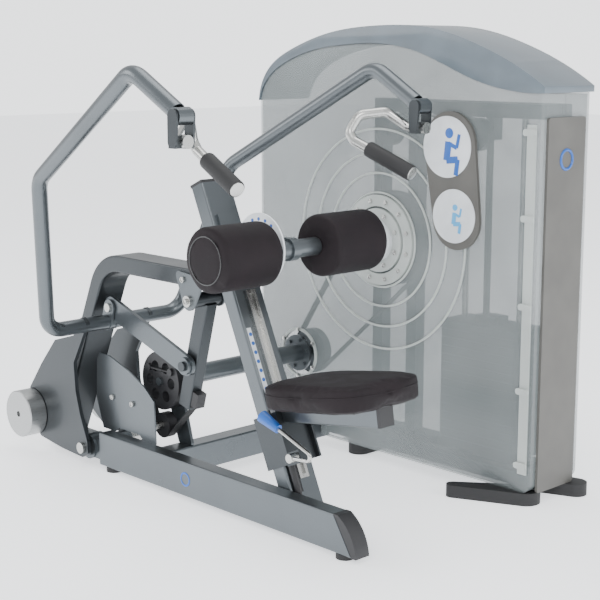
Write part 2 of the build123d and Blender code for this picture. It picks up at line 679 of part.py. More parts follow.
def link_bar():
    high = LINK_Y + LINK_THICKNESS
    front = along(LINK_REAR, LINK_FRONT, math.dist(LINK_REAR, LINK_FRONT))
    circles = [(*LINK_REAR, LINK_HALF_HEIGHT), (*front, LINK_HALF_HEIGHT - 3)]
    bar = hull_plate(circles, LINK_Y, high)
    bar = bar + cross_bar(LINK_FRONT, LINK_Y - 10, LINK_Y, LINK_HALF_HEIGHT - 7)
    bar = bar - cross_bar(LINK_REAR, LINK_Y - 1, high + 1, OPEN_PIVOT_RADIUS)
    reach = (YOKE_RUN[0] - LINK_REAR[0], YOKE_RUN[1] - LINK_REAR[1])
    for turn in (0, RUN_SWEEP / 2, RUN_SWEEP):
        angle = math.radians(turn)
        spot = (
            LINK_REAR[0] + reach[0] * math.cos(angle) + reach[1] * math.sin(angle),
            LINK_REAR[1] - reach[0] * math.sin(angle) + reach[1] * math.cos(angle),
        )
        bar = bar - cross_bar(spot, LINK_Y - 1, high + 1, ARM_RADIUS + RUN_CLEARANCE)
    bar = bar - cross_bar(LINK_FRONT, LINK_Y - 20, high + 1, PIN_RADIUS + RUNNING_GAP)
    keep("link_bar", bar)


def rocker_parts():
    low = ROCKER_Y
    high = ROCKER_Y + ROCKER_WIDTH
    length = math.dist(ROCKER_PIVOT, BELT_END)
    direction = Vector(BELT_END[0] - ROCKER_PIVOT[0], 0, BELT_END[1] - ROCKER_PIVOT[1])
    plane = Plane(
        origin=(ROCKER_PIVOT[0], (low + high) / 2, ROCKER_PIVOT[1]), x_dir=(0, 1, 0), z_dir=direction
    )
    outer = Pos(0, 0, 10) * Box(ROCKER_WIDTH, ROCKER_DEPTH, length + 4, align=(Align.CENTER, Align.CENTER, Align.MIN))
    outer = fillet(outer.edges().filter_by(Axis.Z), 5.0)
    inner = Pos(0, 0, 30) * Box(
        ROCKER_WIDTH - 2 * TUBE_WALL, ROCKER_DEPTH - 2 * TUBE_WALL, length + 40, align=(Align.CENTER, Align.CENTER, Align.MIN)
    )
    tube = plane * (outer - inner)
    hub = cross_bar(ROCKER_PIVOT, BEAM_WIDTH + 1, UPRIGHT_FAR_Y - 1, ROCKER_HUB_RADIUS)
    pin = cross_bar(LINK_FRONT, LINK_Y - 10, low + TUBE_WALL, PIN_RADIUS)
    head = cross_bar(LINK_FRONT, LINK_Y - 18, LINK_Y - 10.5, 14.0)
    pin = pin + cross_bar(LINK_FRONT, LINK_Y - 18, LINK_Y - 10, PIN_RADIUS)
    whole = tube + hub + pin + head
    whole = whole - cross_bar(ROCKER_PIVOT, 0, 300, AXLE_RADIUS + RUNNING_GAP)
    keep("rocker", whole)
    strap = drive_belts()
    start, end, heading = belt_tangent()
    forward = plane * (Pos(0, 0, length - 22) * Box(BELT_WIDTH + 4, 44, 40))
    side = plane * (Pos(0, ROCKER_DEPTH / 2 + 12, length - 22) * Box(BELT_WIDTH + 4, 24, 44))
    other = plane * (Pos(0, -ROCKER_DEPTH / 2 - 12, length - 22) * Box(BELT_WIDTH + 4, 24, 44))
    anchor = side if side.center().X > other.center().X else other
    keep("belt_anchor", anchor)
    keep("drive_strap", strap - anchor - forward - (plane * outer))


# ---- Weight tower ----
def shroud_top():
    """Where the top cover meets the shroud, rear to front."""
    return [
        (TOWER_REAR_X, 1085),
        (-520, 1160),
        (-420, 1215),
        (-300, 1247),
        (-180, 1260),
        (-40, 1262),
        (90, 1243),
        (200, 1206),
        (300, 1168),
        (400, 1143),
        (TOWER_FRONT_X, 1132),
    ]


def cover_top():
    """Crown line of the top cover, rear to front."""
    return [
        (TOWER_REAR_X - 6, 1092),
        (-522, 1185),
        (-400, 1253),
        (-248, 1296),
        (-50, 1315),
        (150, 1306),
        (330, 1258),
        (470, 1198),
        (TOWER_FRONT_X + COVER_LIP, 1150),
    ]


def shroud_prism(inset, low, high):
    """Tower's side profile pulled in by a distance and extruded between two Y values."""
    corner = 330.0
    low_z = TOWER_FLOOR + inset
    rear = TOWER_REAR_X + inset
    front = TOWER_FRONT_X - inset
    top = [(max(min(x, front), rear), low, z - inset) for x, z in shroud_top()]
    roof = Spline(*top)
    sides = FilletPolyline(
        (front, low, top[-1][2]),
        (front, low, low_z),
        (rear, low, low_z),
        (rear, low, top[0][2]),
        radius=[30.0 - inset, corner - inset],
    )
    return extrude(make_face([roof, sides]), amount=high - low, dir=(0, 1, 0))


def shrouds():
    seam = TOWER_MIDDLE_Y
    near = shroud_prism(0, TOWER_NEAR_Y, seam) - shroud_prism(SHELL, TOWER_NEAR_Y + SHELL, seam)
    port = cross_bar(CAM_AXIS, TOWER_NEAR_Y - 1, TOWER_NEAR_Y + SHELL + 1, PORT_RADIUS)
    beam_slot = block(
        (CROSS_BEAM_X - 3, CROSS_BEAM_X + CROSS_BEAM_WIDTH + 3),
        (TOWER_NEAR_Y - 1, seam - 30),
        (-50, FLOOR_GAP + 13 + CROSS_BEAM_HEIGHT),
    )
    base_slot = block(
        (CROSS_BEAM_X - 6, -200), (TOWER_NEAR_Y + 12, seam + 1), (TOWER_FLOOR - 30, TOWER_FLOOR + SHELL + TOWER_TUBE + 3)
    )
    keep("shroud_near", near - port - beam_slot - base_slot)
    far = shroud_prism(0, seam, TOWER_FAR_Y) - shroud_prism(SHELL, seam, TOWER_FAR_Y - SHELL)
    keep("shroud_far", far - Pos(0, 110, 0) * base_slot)


def top_cover():
    skirt = 5.0
    low = TOWER_NEAR_Y - skirt
    high = TOWER_FAR_Y + skirt

    def band(drop, y):
        crown = [(x, y, z - drop) for x, z in cover_top()]
        seat = [(x, y, z + 1.0) for x, z in shroud_top()]
        seat[0] = (TOWER_REAR_X - 6, y, 1086)
        seat[-1] = (TOWER_FRONT_X + COVER_LIP, y, 1133)
        return make_face(
            [Spline(*crown), Line(crown[-1], seat[-1]), Spline(*seat), Line(seat[0], crown[0])]
        )

    outer = extrude(band(0, low), amount=high - low, dir=(0, 1, 0))
    inner_crown = [(x, low + SHELL, z - SHELL) for x, z in cover_top()]
    inner_crown[0] = (TOWER_REAR_X + 2, low + SHELL, 1086)
    inner_crown[-1] = (TOWER_FRONT_X + COVER_LIP - 8, low + SHELL, 1146)
    floor_z = 1000.0
    inner = extrude(
        make_face(
            [
                Spline(*inner_crown),
                Line(inner_crown[-1], (inner_crown[-1][0], low + SHELL, floor_z)),
                Line((inner_crown[-1][0], low + SHELL, floor_z), (inner_crown[0][0], low + SHELL, floor_z)),
                Line((inner_crown[0][0], low + SHELL, floor_z), inner_crown[0]),
            ]
        ),
        amount=high - low - 2 * SHELL,
        dir=(0, 1, 0),
    )
    keep("top_cover", outer - inner)


def front_panel():
    x = (TOWER_FRONT_X, TOWER_FRONT_X + PANEL_THICKNESS)
    y = (TOWER_MIDDLE_Y - PANEL_WIDTH / 2, TOWER_MIDDLE_Y + PANEL_WIDTH / 2)
    panel = block(x, y, (TOWER_FLOOR, PANEL_TOP))
    keep("front_panel", fillet(panel.edges().filter_by(Axis.X), 8.0))


def tower_frame():
    tube = TOWER_TUBE
    base_z = (TOWER_FLOOR + SHELL, TOWER_FLOOR + SHELL + tube)
    near = (TOWER_MIDDLE_Y - 77, TOWER_MIDDLE_Y - 77 + tube)
    far = (TOWER_MIDDLE_Y + 77 - tube, TOWER_MIDDLE_Y + 77)
    x = (-196.0, TOWER_FRONT_X - 34)
    base = block((CROSS_BEAM_X, x[1]), near, base_z) + block(x, far, base_z)
    for start in (x[0], 40.0, x[1] - tube):
        base = base + block((start, start + tube), (near[0], far[1]), base_z)
    base = base - cross_beam_space()
    middle = (TOWER_MIDDLE_Y + 37, TOWER_MIDDLE_Y + 37 + tube)
    posts = block((x[0], x[0] + tube), middle, (base_z[0], CROWN_Z)) + block((x[1] - tube, x[1]), middle, (base_z[0], CROWN_Z))
    crown = block(x, middle, (CROWN_Z, CROWN_Z + tube))
    crown = crown + block((100, 500), (TOWER_MIDDLE_Y - 30, middle[1]), (CROWN_Z, CROWN_Z + tube))
    hub_arm = block((HUB_AXIS[0] - 20, HUB_AXIS[0] + 20), middle, (base_z[0], CROWN_Z))
    hub_axle = cross_bar(HUB_AXIS, DRIVE_BELT_Y - 24, middle[0], AXLE_RADIUS)
    whole = base + posts + crown + hub_arm + hub_axle
    for x_axis in crown_axes():
        whole = whole + cross_bar((x_axis, CROWN_PULLEY_Z), STRAP_Y - 8, middle[0], 9.0)
        whole = whole + block((x_axis - 14, x_axis + 14), middle, (CROWN_PULLEY_Z - 16, CROWN_Z))
    for side in (-1, 1):
        x_rod = STACK_X + side * GUIDE_SPREAD
        collar = round_bar((x_rod, STACK_Y, base_z[0]), (x_rod, STACK_Y, STACK_FOOT_Z), 24.0)
        bridge = block((x_rod - 20, x_rod + 20), (near[0], far[1]), (base_z[0], base_z[0] + 20))
        whole = whole + collar + bridge
    keep("tower_frame", whole - guide_holes())
    keep("guide_rods", guide_bar(-1, GUIDE_RADIUS), guide_bar(1, GUIDE_RADIUS))


def cross_beam_space():
    """Room that the base leaves for the end of the cross beam."""
    return block(
        (CROSS_BEAM_X - 1, CROSS_BEAM_X + CROSS_BEAM_WIDTH),
        (TOWER_NEAR_Y, TOWER_NEAR_Y + CROSS_BEAM_REACH),
        (0, FLOOR_GAP + 10 + CROSS_BEAM_HEIGHT),
    )


def guide_holes():
    holes = [guide_bar(side, GUIDE_RADIUS) for side in (-1, 1)]
    return holes[0] + holes[1]


def guide_bar(side, radius):
    x = STACK_X + side * GUIDE_SPREAD
    low = TOWER_FLOOR + SHELL
    return round_bar((x, STACK_Y, low), (x, STACK_Y, CROWN_Z + 20), radius)


def crown_axes():
    rear = HUB_AXIS[0] - DRUM_RADIUS + CROWN_PULLEY_RADIUS
    front = STACK_X - CROWN_PULLEY_RADIUS
    return rear, front


def weight_plate(z):
    """One iron plate, bored for the guide rods and slotted for the selector pin."""
    x = (STACK_X - PLATE_SIZE[0] / 2, STACK_X + PLATE_SIZE[0] / 2)
    y = (STACK_Y - PLATE_SIZE[1] / 2, STACK_Y + PLATE_SIZE[1] / 2)
    body = block(x, y, (z, z + PLATE_SIZE[2]))
    body = chamfer(body.edges().filter_by(Axis.Z), 8.0)
    for side in (-1, 1):
        body = body - guide_bar(side, GUIDE_RADIUS + 0.08)
    return body


def stack_parts():
    rest = []
    for index in range(RESTING_PLATES):
        rest.append(weight_plate(STACK_FOOT_Z + index * PLATE_PITCH) - stem_bar(16.0))
    keep("resting_plates", *rest)
    first = STACK_FOOT_Z + RESTING_PLATES * PLATE_PITCH
    lifted = None
    for index in range(LIFTED_PLATES):
        layer = weight_plate(first + index * PLATE_PITCH)
        lifted = layer if lifted is None else lifted + layer
    top = first + LIFTED_PLATES * PLATE_PITCH
    spacers = block((STACK_X - 60, STACK_X + 60), (STACK_Y - 40, STACK_Y + 40), (first, top - 2))
    head = block((STACK_X - 40, STACK_X + 40), (STACK_Y - 25, STACK_Y + 25), (top - 2, top + 22))
    keep("lifted_plates", lifted + spacers + head + stem_bar(14.0))
    return top + 22


def stem_bar(radius):
    """Selector stem that hangs from the top plate through the stack."""
    first = STACK_FOOT_Z + RESTING_PLATES * PLATE_PITCH
    low = first - 160
    return round_bar((STACK_X, STACK_Y, low), (STACK_X, STACK_Y, first + 20), radius)


def lift_parts():
    low = DRIVE_BELT_Y - 1
    high = DRIVE_BELT_Y + BELT_WIDTH + 1
    pulley = spoked_wheel(HUB_AXIS, low, high, HUB_PULLEY_RADIUS, AXLE_RADIUS + RUNNING_GAP, rim=20, hub=40, holes=6)
    drum = cross_bar(HUB_AXIS, high, STRAP_Y + BELT_WIDTH + 1, DRUM_RADIUS, AXLE_RADIUS + RUNNING_GAP)
    keep("lift_drum", pulley + drum)
    names = ("crown_pulley_rear", "crown_pulley_front")
    for name, x_axis in zip(names, crown_axes()):
        axis = (x_axis, CROWN_PULLEY_Z)
        keep(name, cross_bar(axis, STRAP_Y - 1, STRAP_Y + BELT_WIDTH + 1, CROWN_PULLEY_RADIUS, 9.0 + RUNNING_GAP))


def lift_belts(stack_top):
    cam = (*CAM_AXIS, SPROCKET_RADIUS)
    hub = (*HUB_AXIS, HUB_PULLEY_RADIUS)
    keep("lift_belt", belt_loop(cam, hub, DRIVE_BELT_Y, DRIVE_BELT_Y + BELT_WIDTH))
    rear, front = crown_axes()
    crown = belt_loop(
        (rear, CROWN_PULLEY_Z, CROWN_PULLEY_RADIUS),
        (front, CROWN_PULLEY_Z, CROWN_PULLEY_RADIUS),
        STRAP_Y,
        STRAP_Y + BELT_WIDTH,
    )
    crown = crown - block((-900, 900), (0, 1200), (0, CROWN_PULLEY_Z))
    left = HUB_AXIS[0] - DRUM_RADIUS - BELT_GAP
    climb = block((left - BELT_THICKNESS, left), (STRAP_Y, STRAP_Y + BELT_WIDTH), (HUB_AXIS[1], CROWN_PULLEY_Z))
    keep("lift_strap", crown + climb)
    right = STACK_X + BELT_GAP
    drop = block(
        (right, right + BELT_THICKNESS), (STRAP_Y, STRAP_Y + BELT_WIDTH), (stack_top, CROWN_PULLEY_Z)
    )
    keep("stack_strap", drop)


def shroud_dress():
    face = TOWER_NEAR_Y
    hub = cross_bar(HUB_AXIS, face - 10, face, HUB_RING_RADIUS, HUB_RING_RADIUS - 34)
    flange = cross_bar(HUB_AXIS, face - 14, face, HUB_RING_RADIUS - 40, 30.0)
    port = cross_bar(CAM_AXIS, face - 6, face, PORT_RADIUS + 8, PORT_RADIUS)
    keep("shroud_rings", hub, flange, port)
    circles_top = (235.0, 985.0, 92.0)
    circles_low = (265.0, 775.0, 84.0)
    board = hull_plate([circles_top, circles_low], face - 10, face)
    keep("placard", board)
    rack = block((500, 528), (face - 6, face), (90, 1050))
    tabs = []
    for z in (115, 325, 560, 800, 1030):
        tab = block((490, 532), (face - 12, face - 6), (z - 9, z + 9))
        tabs.append(fillet(tab.edges().filter_by(Axis.Y), 8.0))
    for tab in tabs:
        rack = rack + tab
    keep("corner_rack", rack)


# ---- Thigh pads ----
def pad_parts():
    low = MIDDLE_Y - 13
    high = MIDDLE_Y + 13
    circles = [(*PAD_PIVOT, 26.0), (*PAD_BAR_AXIS, PAD_BAR_RADIUS + 6)]
    arm = hull_plate(circles, low, high)
    arm = arm - cross_bar(PAD_PIVOT, low - 1, high + 1, AXLE_RADIUS + RUNNING_GAP)
    reach = PAD_INNER + PAD_LENGTH - 30
    bar = cross_bar(PAD_BAR_AXIS, MIDDLE_Y - PAD_INNER + 2, MIDDLE_Y + PAD_INNER - 2, PAD_BAR_RADIUS)
    core = cross_bar(PAD_BAR_AXIS, MIDDLE_Y - reach, MIDDLE_Y + reach, AXLE_RADIUS)
    keep("pad_arm", arm + bar + core)
    for name, side in (("near_roller", -1), ("far_roller", 1)):
        inner = MIDDLE_Y + side * PAD_INNER
        outer = inner + side * PAD_LENGTH
        ends = (min(inner, outer), max(inner, outer))
        pad = cross_bar(PAD_BAR_AXIS, ends[0], ends[1], PAD_RADIUS)
        rims = pad.edges().filter_by(GeomType.CIRCLE)
        pad = fillet(rims, 22.0)
        pad = pad - cross_bar(PAD_BAR_AXIS, ends[0] - 1, ends[1] + 1, AXLE_RADIUS + RUNNING_GAP)
        cup = (min(outer, outer - side * 22), max(outer, outer - side * 22))
        keep(name, pad - cross_bar(PAD_BAR_AXIS, cup[0], cup[1], 52.0))


# ---- Seat ----
def seat_parts():
    centre = (SEAT_Z - FLOOR_GAP) / LEAN_COS
    z = (centre - CARRIAGE_HEIGHT, centre - 8)
    half = UPRIGHT_WIDTH / 2 + CARRIAGE_GAP
    front = UPRIGHT_DEPTH / 2 + 12 + CARRIAGE_GAP
    back = -UPRIGHT_DEPTH / 2 - CARRIAGE_GAP
    sides = mast_block((back - 8, front + 22), (-half - CARRIAGE_PLATE, -half), z)
    sides = sides + mast_block((back - 8, front + 22), (half, half + CARRIAGE_PLATE), z)
    lug = mast_block((front + 10, LEVER_REACH + 14), (-half - CARRIAGE_PLATE, -half), (z[0] - 4, z[0] + 30))
    bridge = mast_block((front, front + 8), (-half, half), z)
    rear = mast_block((back - 8, back), (-half, half), (z[0] + 20, z[1] - 20))
    keep("seat_carriage", sides + lug + bridge + rear)
    start_x = mast_x(SEAT_Z) + (front + 8) / LEAN_COS
    tilt = math.radians(SEAT_TILT)
    seat_plane = Plane(
        origin=(start_x, MIDDLE_Y, SEAT_Z + 6),
        x_dir=(math.cos(tilt), 0, math.sin(tilt)),
        z_dir=(-math.sin(tilt), 0, math.cos(tilt)),
    )
    size = SEAT_TUBE_SIZE
    outer = block((-60, SEAT_TUBE_LENGTH), (-size / 2, size / 2), (-size / 2, size / 2))
    outer = fillet(outer.edges().filter_by(Axis.X), 4.0)
    inner = block(
        (-70, SEAT_TUBE_LENGTH + 10),
        (-size / 2 + TUBE_WALL, size / 2 - TUBE_WALL),
        (-size / 2 + TUBE_WALL, size / 2 - TUBE_WALL),
    )
    tube = seat_plane * (outer - inner)
    clear = MAST * block((-200, front + 8), (-200, 200), (-200, 1200))
    keep("seat_tube", tube - clear)
    cap = seat_plane * block(
        (SEAT_TUBE_LENGTH, SEAT_TUBE_LENGTH + 10), (-size / 2, size / 2), (-size / 2, size / 2)
    )
    keep("seat_tube_cap", cap)
    pad_x = (SEAT_PAD_START, SEAT_PAD_START + SEAT_PAD_LENGTH)
    pad = block(pad_x, (-SEAT_PAD_WIDTH / 2, SEAT_PAD_WIDTH / 2), (size / 2, size / 2 + SEAT_PAD_THICKNESS))
    pad = fillet(pad.edges().filter_by(Axis.Z), 70.0)
    pad = fillet(pad.edges().group_by(Axis.Z)[-1], 24.0)
    pad = fillet(pad.edges().group_by(Axis.Z)[0], 14.0)
    keep("seat_pad", seat_plane * pad)
    return z


def seat_bumper(carriage_low):
    """Short spring on the mast that the carriage rests on in its lowest place."""
    forward = UPRIGHT_DEPTH / 2 + 12
    body = round_bar((forward, -33, carriage_low - 76), (forward, -33, carriage_low), 11.0)
    rod = round_bar((forward, -33, carriage_low - 120), (forward, -33, carriage_low - 76), 5.0)
    lug = block((UPRIGHT_DEPTH / 2, forward + 8), (-44, -22), (carriage_low - 132, carriage_low - 118))
    keep("gas_spring", MAST * (body + rod + lug))


def lever_parts(z_range):
    half = UPRIGHT_WIDTH / 2 + CARRIAGE_GAP + CARRIAGE_PLATE
    hinge = (MAST * Pos(LEVER_REACH, -half, z_range[0] + 14)).position
    pivot = (hinge.X, hinge.Z)
    face = hinge.Y
    middle = face - LEVER_GRIP_RADIUS - 4
    hub = cross_bar(pivot, middle - 7, face - 0.5, 12.0)
    path = FilletPolyline(
        (pivot[0], middle, pivot[1]),
        (pivot[0] + 114, middle, pivot[1] + 11),
        (pivot[0] - 46, middle, pivot[1] + 68),
        radius=12.0,
    )
    rod = swept_tube(path, LEVER_RADIUS)
    keep("release_lever", hub + rod)
    grip_plane = Plane(origin=path @ 1, z_dir=path % 1)
    keep("lever_grip", Solid.make_cone(12.0, LEVER_GRIP_RADIUS, LEVER_GRIP_LENGTH, grip_plane))
    return pivot, face


# ---- Handles ----
def hanger_hinge():
    """Hinge at the far arm's end, (x, z), and the arm's own y."""
    slope = math.atan2(ARM_END[2] - APEX[2], ARM_END[0] - APEX[0])
    x = ARM_END[0] + math.cos(slope) * HANGER_REACH
    z = ARM_END[2] + math.sin(slope) * HANGER_REACH
    return (x, z), MIDDLE_Y + ARM_END[1]


def handle_parts():
    """Clevis that swings on each arm's end, and the bent handle that turns in its lower eye."""
    pivot, y = hanger_hinge()
    eye = (pivot[0] - 2, pivot[1] - HANGER_DROP)
    hanger = cross_bar(pivot, y - EAR_OUTER, y + EAR_OUTER, PIN_RADIUS)
    for low in (y - EAR_OUTER, y + BARREL_HALF + 1):
        hanger = hanger + hull_plate([(*pivot, 17.0), (*eye, 15.0)], low, low + EAR_OUTER - BARREL_HALF - 1)
    lower = block((eye[0] - 12, eye[0] + 12), (y - EAR_OUTER, y + EAR_OUTER), (eye[1] - 15, eye[1] + 15))
    bore = round_bar((eye[0] - 30, y, eye[1]), (eye[0] + 30, y, eye[1]), AXLE_RADIUS + RUNNING_GAP)
    hanger = hanger + lower - bore
    stud = round_bar((eye[0] - 26, y, eye[1]), (eye[0] + 26, y, eye[1]), AXLE_RADIUS)
    stud = stud + round_bar((eye[0] - 28, y, eye[1]), (eye[0] - 12.5, y, eye[1]), 15.0)
    stud = stud + round_bar((eye[0] + 12.5, y, eye[1]), (eye[0] + 26, y, eye[1]), 16.0)
    base = Vector(eye[0] - 26, y, eye[1])
    points = [
        base,
        base + Vector(-16, -10, 5),
        base + Vector(-42, -60, 42),
        base + Vector(-88, -118, 34),
        base + Vector(-104, -139, -12),
        base + Vector(-86, -139, -34),
        base + Vector(-40, -131, -54),
    ]
    path = FilletPolyline(*points, radius=[12.0, 30.0, 30.0, 17.0, 17.0])
    handle = stud + swept_tube(path, HANDLE_RADIUS)
    grip = Solid.make_cylinder(GRIP_RADIUS, GRIP_LENGTH, Plane(origin=path @ 1, z_dir=path % 1))
    pieces = {"hanger": hanger, "handle": handle, "grip": grip}
    middle = Plane(origin=(0, MIDDLE_Y, 0), z_dir=(0, 1, 0))
    for name, piece in pieces.items():
        keep("far_" + name, piece)
        keep("near_" + name, mirror(Compound(piece.solids()), about=middle))


def build():
    base_beam()
    cross_members()
    frame_end_caps()
    rubber_feet()
    uprights()
    belt_guard()
    kite_brackets()
    frame_axles()
    mast_fittings()
    index_and_bracket()
    transfer_parts()
    idler_pulley()
    yoke_parts()
    link_bar()
    rocker_parts()
    shrouds()
    top_cover()
    front_panel()
    tower_frame()
    stack_top = stack_parts()
    lift_parts()
    lift_belts(stack_top)
    shroud_dress()
    pad_parts()
    carriage = seat_parts()
    seat_bumper(carriage[0])
    lever_parts(carriage)
    handle_parts()


build()
whole = Compound([solid for shape in NODES.values() for solid in shape.solids()])
box = whole.bounding_box()
SHIFT = Vector(-(box.min.X + box.max.X) / 2, -(box.min.Y + box.max.Y) / 2, -box.min.Z)
os.makedirs("parts", exist_ok=True)
for node_name, node_shape in NODES.items():
    export_step(Pos(*SHIFT) * node_shape, f"parts/{node_name}.step")
print("size", box.size, "shift", SHIFT)
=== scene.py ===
import json
import math

import bpy
from mathutils import Matrix, Vector


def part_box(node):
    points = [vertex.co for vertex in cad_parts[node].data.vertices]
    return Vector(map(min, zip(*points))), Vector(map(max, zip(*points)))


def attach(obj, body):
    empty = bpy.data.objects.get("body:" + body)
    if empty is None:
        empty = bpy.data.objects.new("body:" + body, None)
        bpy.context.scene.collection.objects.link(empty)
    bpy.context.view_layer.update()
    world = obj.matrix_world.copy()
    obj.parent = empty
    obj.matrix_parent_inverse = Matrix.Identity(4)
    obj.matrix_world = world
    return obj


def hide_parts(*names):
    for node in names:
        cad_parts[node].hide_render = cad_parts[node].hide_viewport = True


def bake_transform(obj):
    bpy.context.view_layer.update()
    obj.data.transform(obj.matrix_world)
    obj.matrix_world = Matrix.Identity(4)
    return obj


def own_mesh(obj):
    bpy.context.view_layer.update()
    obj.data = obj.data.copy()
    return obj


bl_info = {
    "name": "Lat Pulldown Machine",
    "version": (1, 0, 0),
    "blender": (4, 5, 0),
    "location": "View3D > Sidebar > Pulldown",
    "description": "Upholstery, mouldings and finishes of a seated lat pulldown machine",
    "category": "Object",
}

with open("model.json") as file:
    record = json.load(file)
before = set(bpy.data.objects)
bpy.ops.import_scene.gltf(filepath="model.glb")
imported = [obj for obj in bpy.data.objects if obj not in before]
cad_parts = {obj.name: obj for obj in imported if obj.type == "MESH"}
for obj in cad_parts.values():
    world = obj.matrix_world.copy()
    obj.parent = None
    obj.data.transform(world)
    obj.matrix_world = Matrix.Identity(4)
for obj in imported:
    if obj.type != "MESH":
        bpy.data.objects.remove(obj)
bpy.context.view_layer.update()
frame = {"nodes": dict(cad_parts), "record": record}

# The machine's own axes: +X along the base beam, +Y towards the weight tower, +Z up.
# The base beam's near side is y = 0 and its pivot boss starts at x = BOSS_X, in millimetres.
BOSS_X = -658.0
BEAM_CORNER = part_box("base_beam")[0]
ORIGIN = Vector((BEAM_CORNER.x - BOSS_X / 1000, BEAM_CORNER.y, 0.0))
TOWER_NEAR = 660.0
HUB = (-34.0, 689.0)
PORT = (-380.0, 290.0)
PAD_PIVOT = (110.0, 740.0)
LEAN = math.radians(24.2)
MAST_FOOT = Vector((246.0, 100.0, 15.0))
SEAT_TILT = math.radians(9.0)
PLACARD_TOP = (228.0, 978.0)
PLACARD_FOOT = (258.0, 786.0)


def at(x, y, z):
    """Point of the row frame, in metres, from the machine's own millimetres."""
    return ORIGIN + Vector((x, y, z)) / 1000


def on_mast(forward, across, along):
    """Point from distances in front of the mast's middle, across it and up along it."""
    x = MAST_FOOT.x + forward * math.cos(LEAN) - along * math.sin(LEAN)
    z = MAST_FOOT.z + forward * math.sin(LEAN) + along * math.cos(LEAN)
    return at(x, MAST_FOOT.y + across, z)


MAST_TURN = Matrix.Rotation(-LEAN, 4, "Y")


# ---- Modelling helpers ----
def deselect():
    if bpy.context.object and bpy.context.object.mode != "OBJECT":
        bpy.ops.object.mode_set(mode="OBJECT")
    bpy.ops.object.select_all(action="DESELECT")


def pick(obj):
    deselect()
    obj.select_set(True)
    bpy.context.view_layer.objects.active = obj


def settle(obj):
    """Puts the object's place into its mesh, so that it sits at the origin, unturned."""
    pick(obj)
    bpy.ops.object.transform_apply(location=True, rotation=True, scale=True)
    return obj


def cylinder(name, centre, radius, depth, axis="Y", vertices=64):
    deselect()
    turns = {"X": (0, math.pi / 2, 0), "Y": (math.pi / 2, 0, 0), "Z": (0, 0, 0)}
    bpy.ops.mesh.primitive_cylinder_add(
        vertices=vertices, radius=radius, depth=depth, location=centre, rotation=turns[axis]
    )
    obj = bpy.context.object
    obj.name = name
    return settle(obj)


def cuboid(name, centre, size, turn=None):
    deselect()
    bpy.ops.mesh.primitive_cube_add(size=1, location=centre)
    obj = bpy.context.object
    obj.name = name
    obj.scale = size
    if turn is not None:
        obj.rotation_euler = turn
    return settle(obj)


def ring(name, centre, radius, thickness, axis="Y", around=96, across=10):
    deselect()
    turns = {"X": (0, math.pi / 2, 0), "Y": (math.pi / 2, 0, 0), "Z": (0, 0, 0)}
    bpy.ops.mesh.primitive_torus_add(
        major_radius=radius,
        minor_radius=thickness,
        major_segments=around,
        minor_segments=across,
        location=centre,
        rotation=turns[axis],
    )
    obj = bpy.context.object
    obj.name = name
    return settle(obj)


def modifier(obj, kind, **values):
    pick(obj)
    made = obj.modifiers.new(kind.title(), kind)
    for key, value in values.items():
        setattr(made, key, value)
    bpy.ops.object.modifier_apply(modifier=made.name)
    return obj


def bevel(obj, width, segments=3, angle=30.0):
    return modifier(
        obj, "BEVEL", width=width, segments=segments, limit_method="ANGLE", angle_limit=math.radians(angle)
    )


def smooth(obj, angle=35.0):
    pick(obj)
    bpy.ops.object.shade_smooth_by_angle(angle=math.radians(angle))
    return obj


def pick_faces(obj, test):
    """Enters edit mode with only the faces that pass the test selected."""
    pick(obj)
    bpy.ops.object.mode_set(mode="EDIT")
    bpy.ops.mesh.select_mode(type="FACE")
    bpy.ops.mesh.select_all(action="DESELECT")
    bpy.ops.object.mode_set(mode="OBJECT")
    for face in obj.data.polygons:
        face.select = test(face)
    bpy.ops.object.mode_set(mode="EDIT")


def inset_and_push(obj, test, inset, push):
    """Insets the chosen faces and moves them along their normals by a distance."""
    pick_faces(obj, test)
    if inset:
        bpy.ops.mesh.inset(thickness=inset)
    if push:
        bpy.ops.mesh.extrude_region_shrink_fatten(
            TRANSFORM_OT_shrink_fatten={"value": push}
        )
    bpy.ops.object.mode_set(mode="OBJECT")
    return obj


def join(name, pieces):
    deselect()
    for piece in pieces:
        piece.select_set(True)
    bpy.context.view_layer.objects.active = pieces[0]
    bpy.ops.object.join()
    obj = bpy.context.object
    obj.name = name
    obj.data.name = name
    return obj


def bar(name, points, radius, closed=False, bend=12, rounds=12):
    """Round bar along some points, as a mesh; corners are rounded by the curve."""
    curve = bpy.data.curves.new(name, "CURVE")
    curve.dimensions = "3D"
    curve.bevel_depth = radius
    curve.bevel_resolution = max(2, rounds // 4)
    curve.resolution_u = bend
    curve.use_fill_caps = True
    spline = curve.splines.new("BEZIER")
    spline.bezier_points.add(len(points) - 1)
    for place, point in zip(spline.bezier_points, points):
        place.co = point
        place.handle_left_type = "AUTO"
        place.handle_right_type = "AUTO"
    spline.use_cyclic_u = closed
    obj = bpy.data.objects.new(name, curve)
    bpy.context.scene.collection.objects.link(obj)
    pick(obj)
    bpy.ops.object.convert(target="MESH")
    obj = bpy.context.object
    obj.name = name
    return obj


def finish_piece(obj, body, material, replaces=()):
    obj.data.materials.clear()
    obj.data.materials.append(material)
    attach(obj, body)
    if replaces:
        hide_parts(*replaces)
    return obj


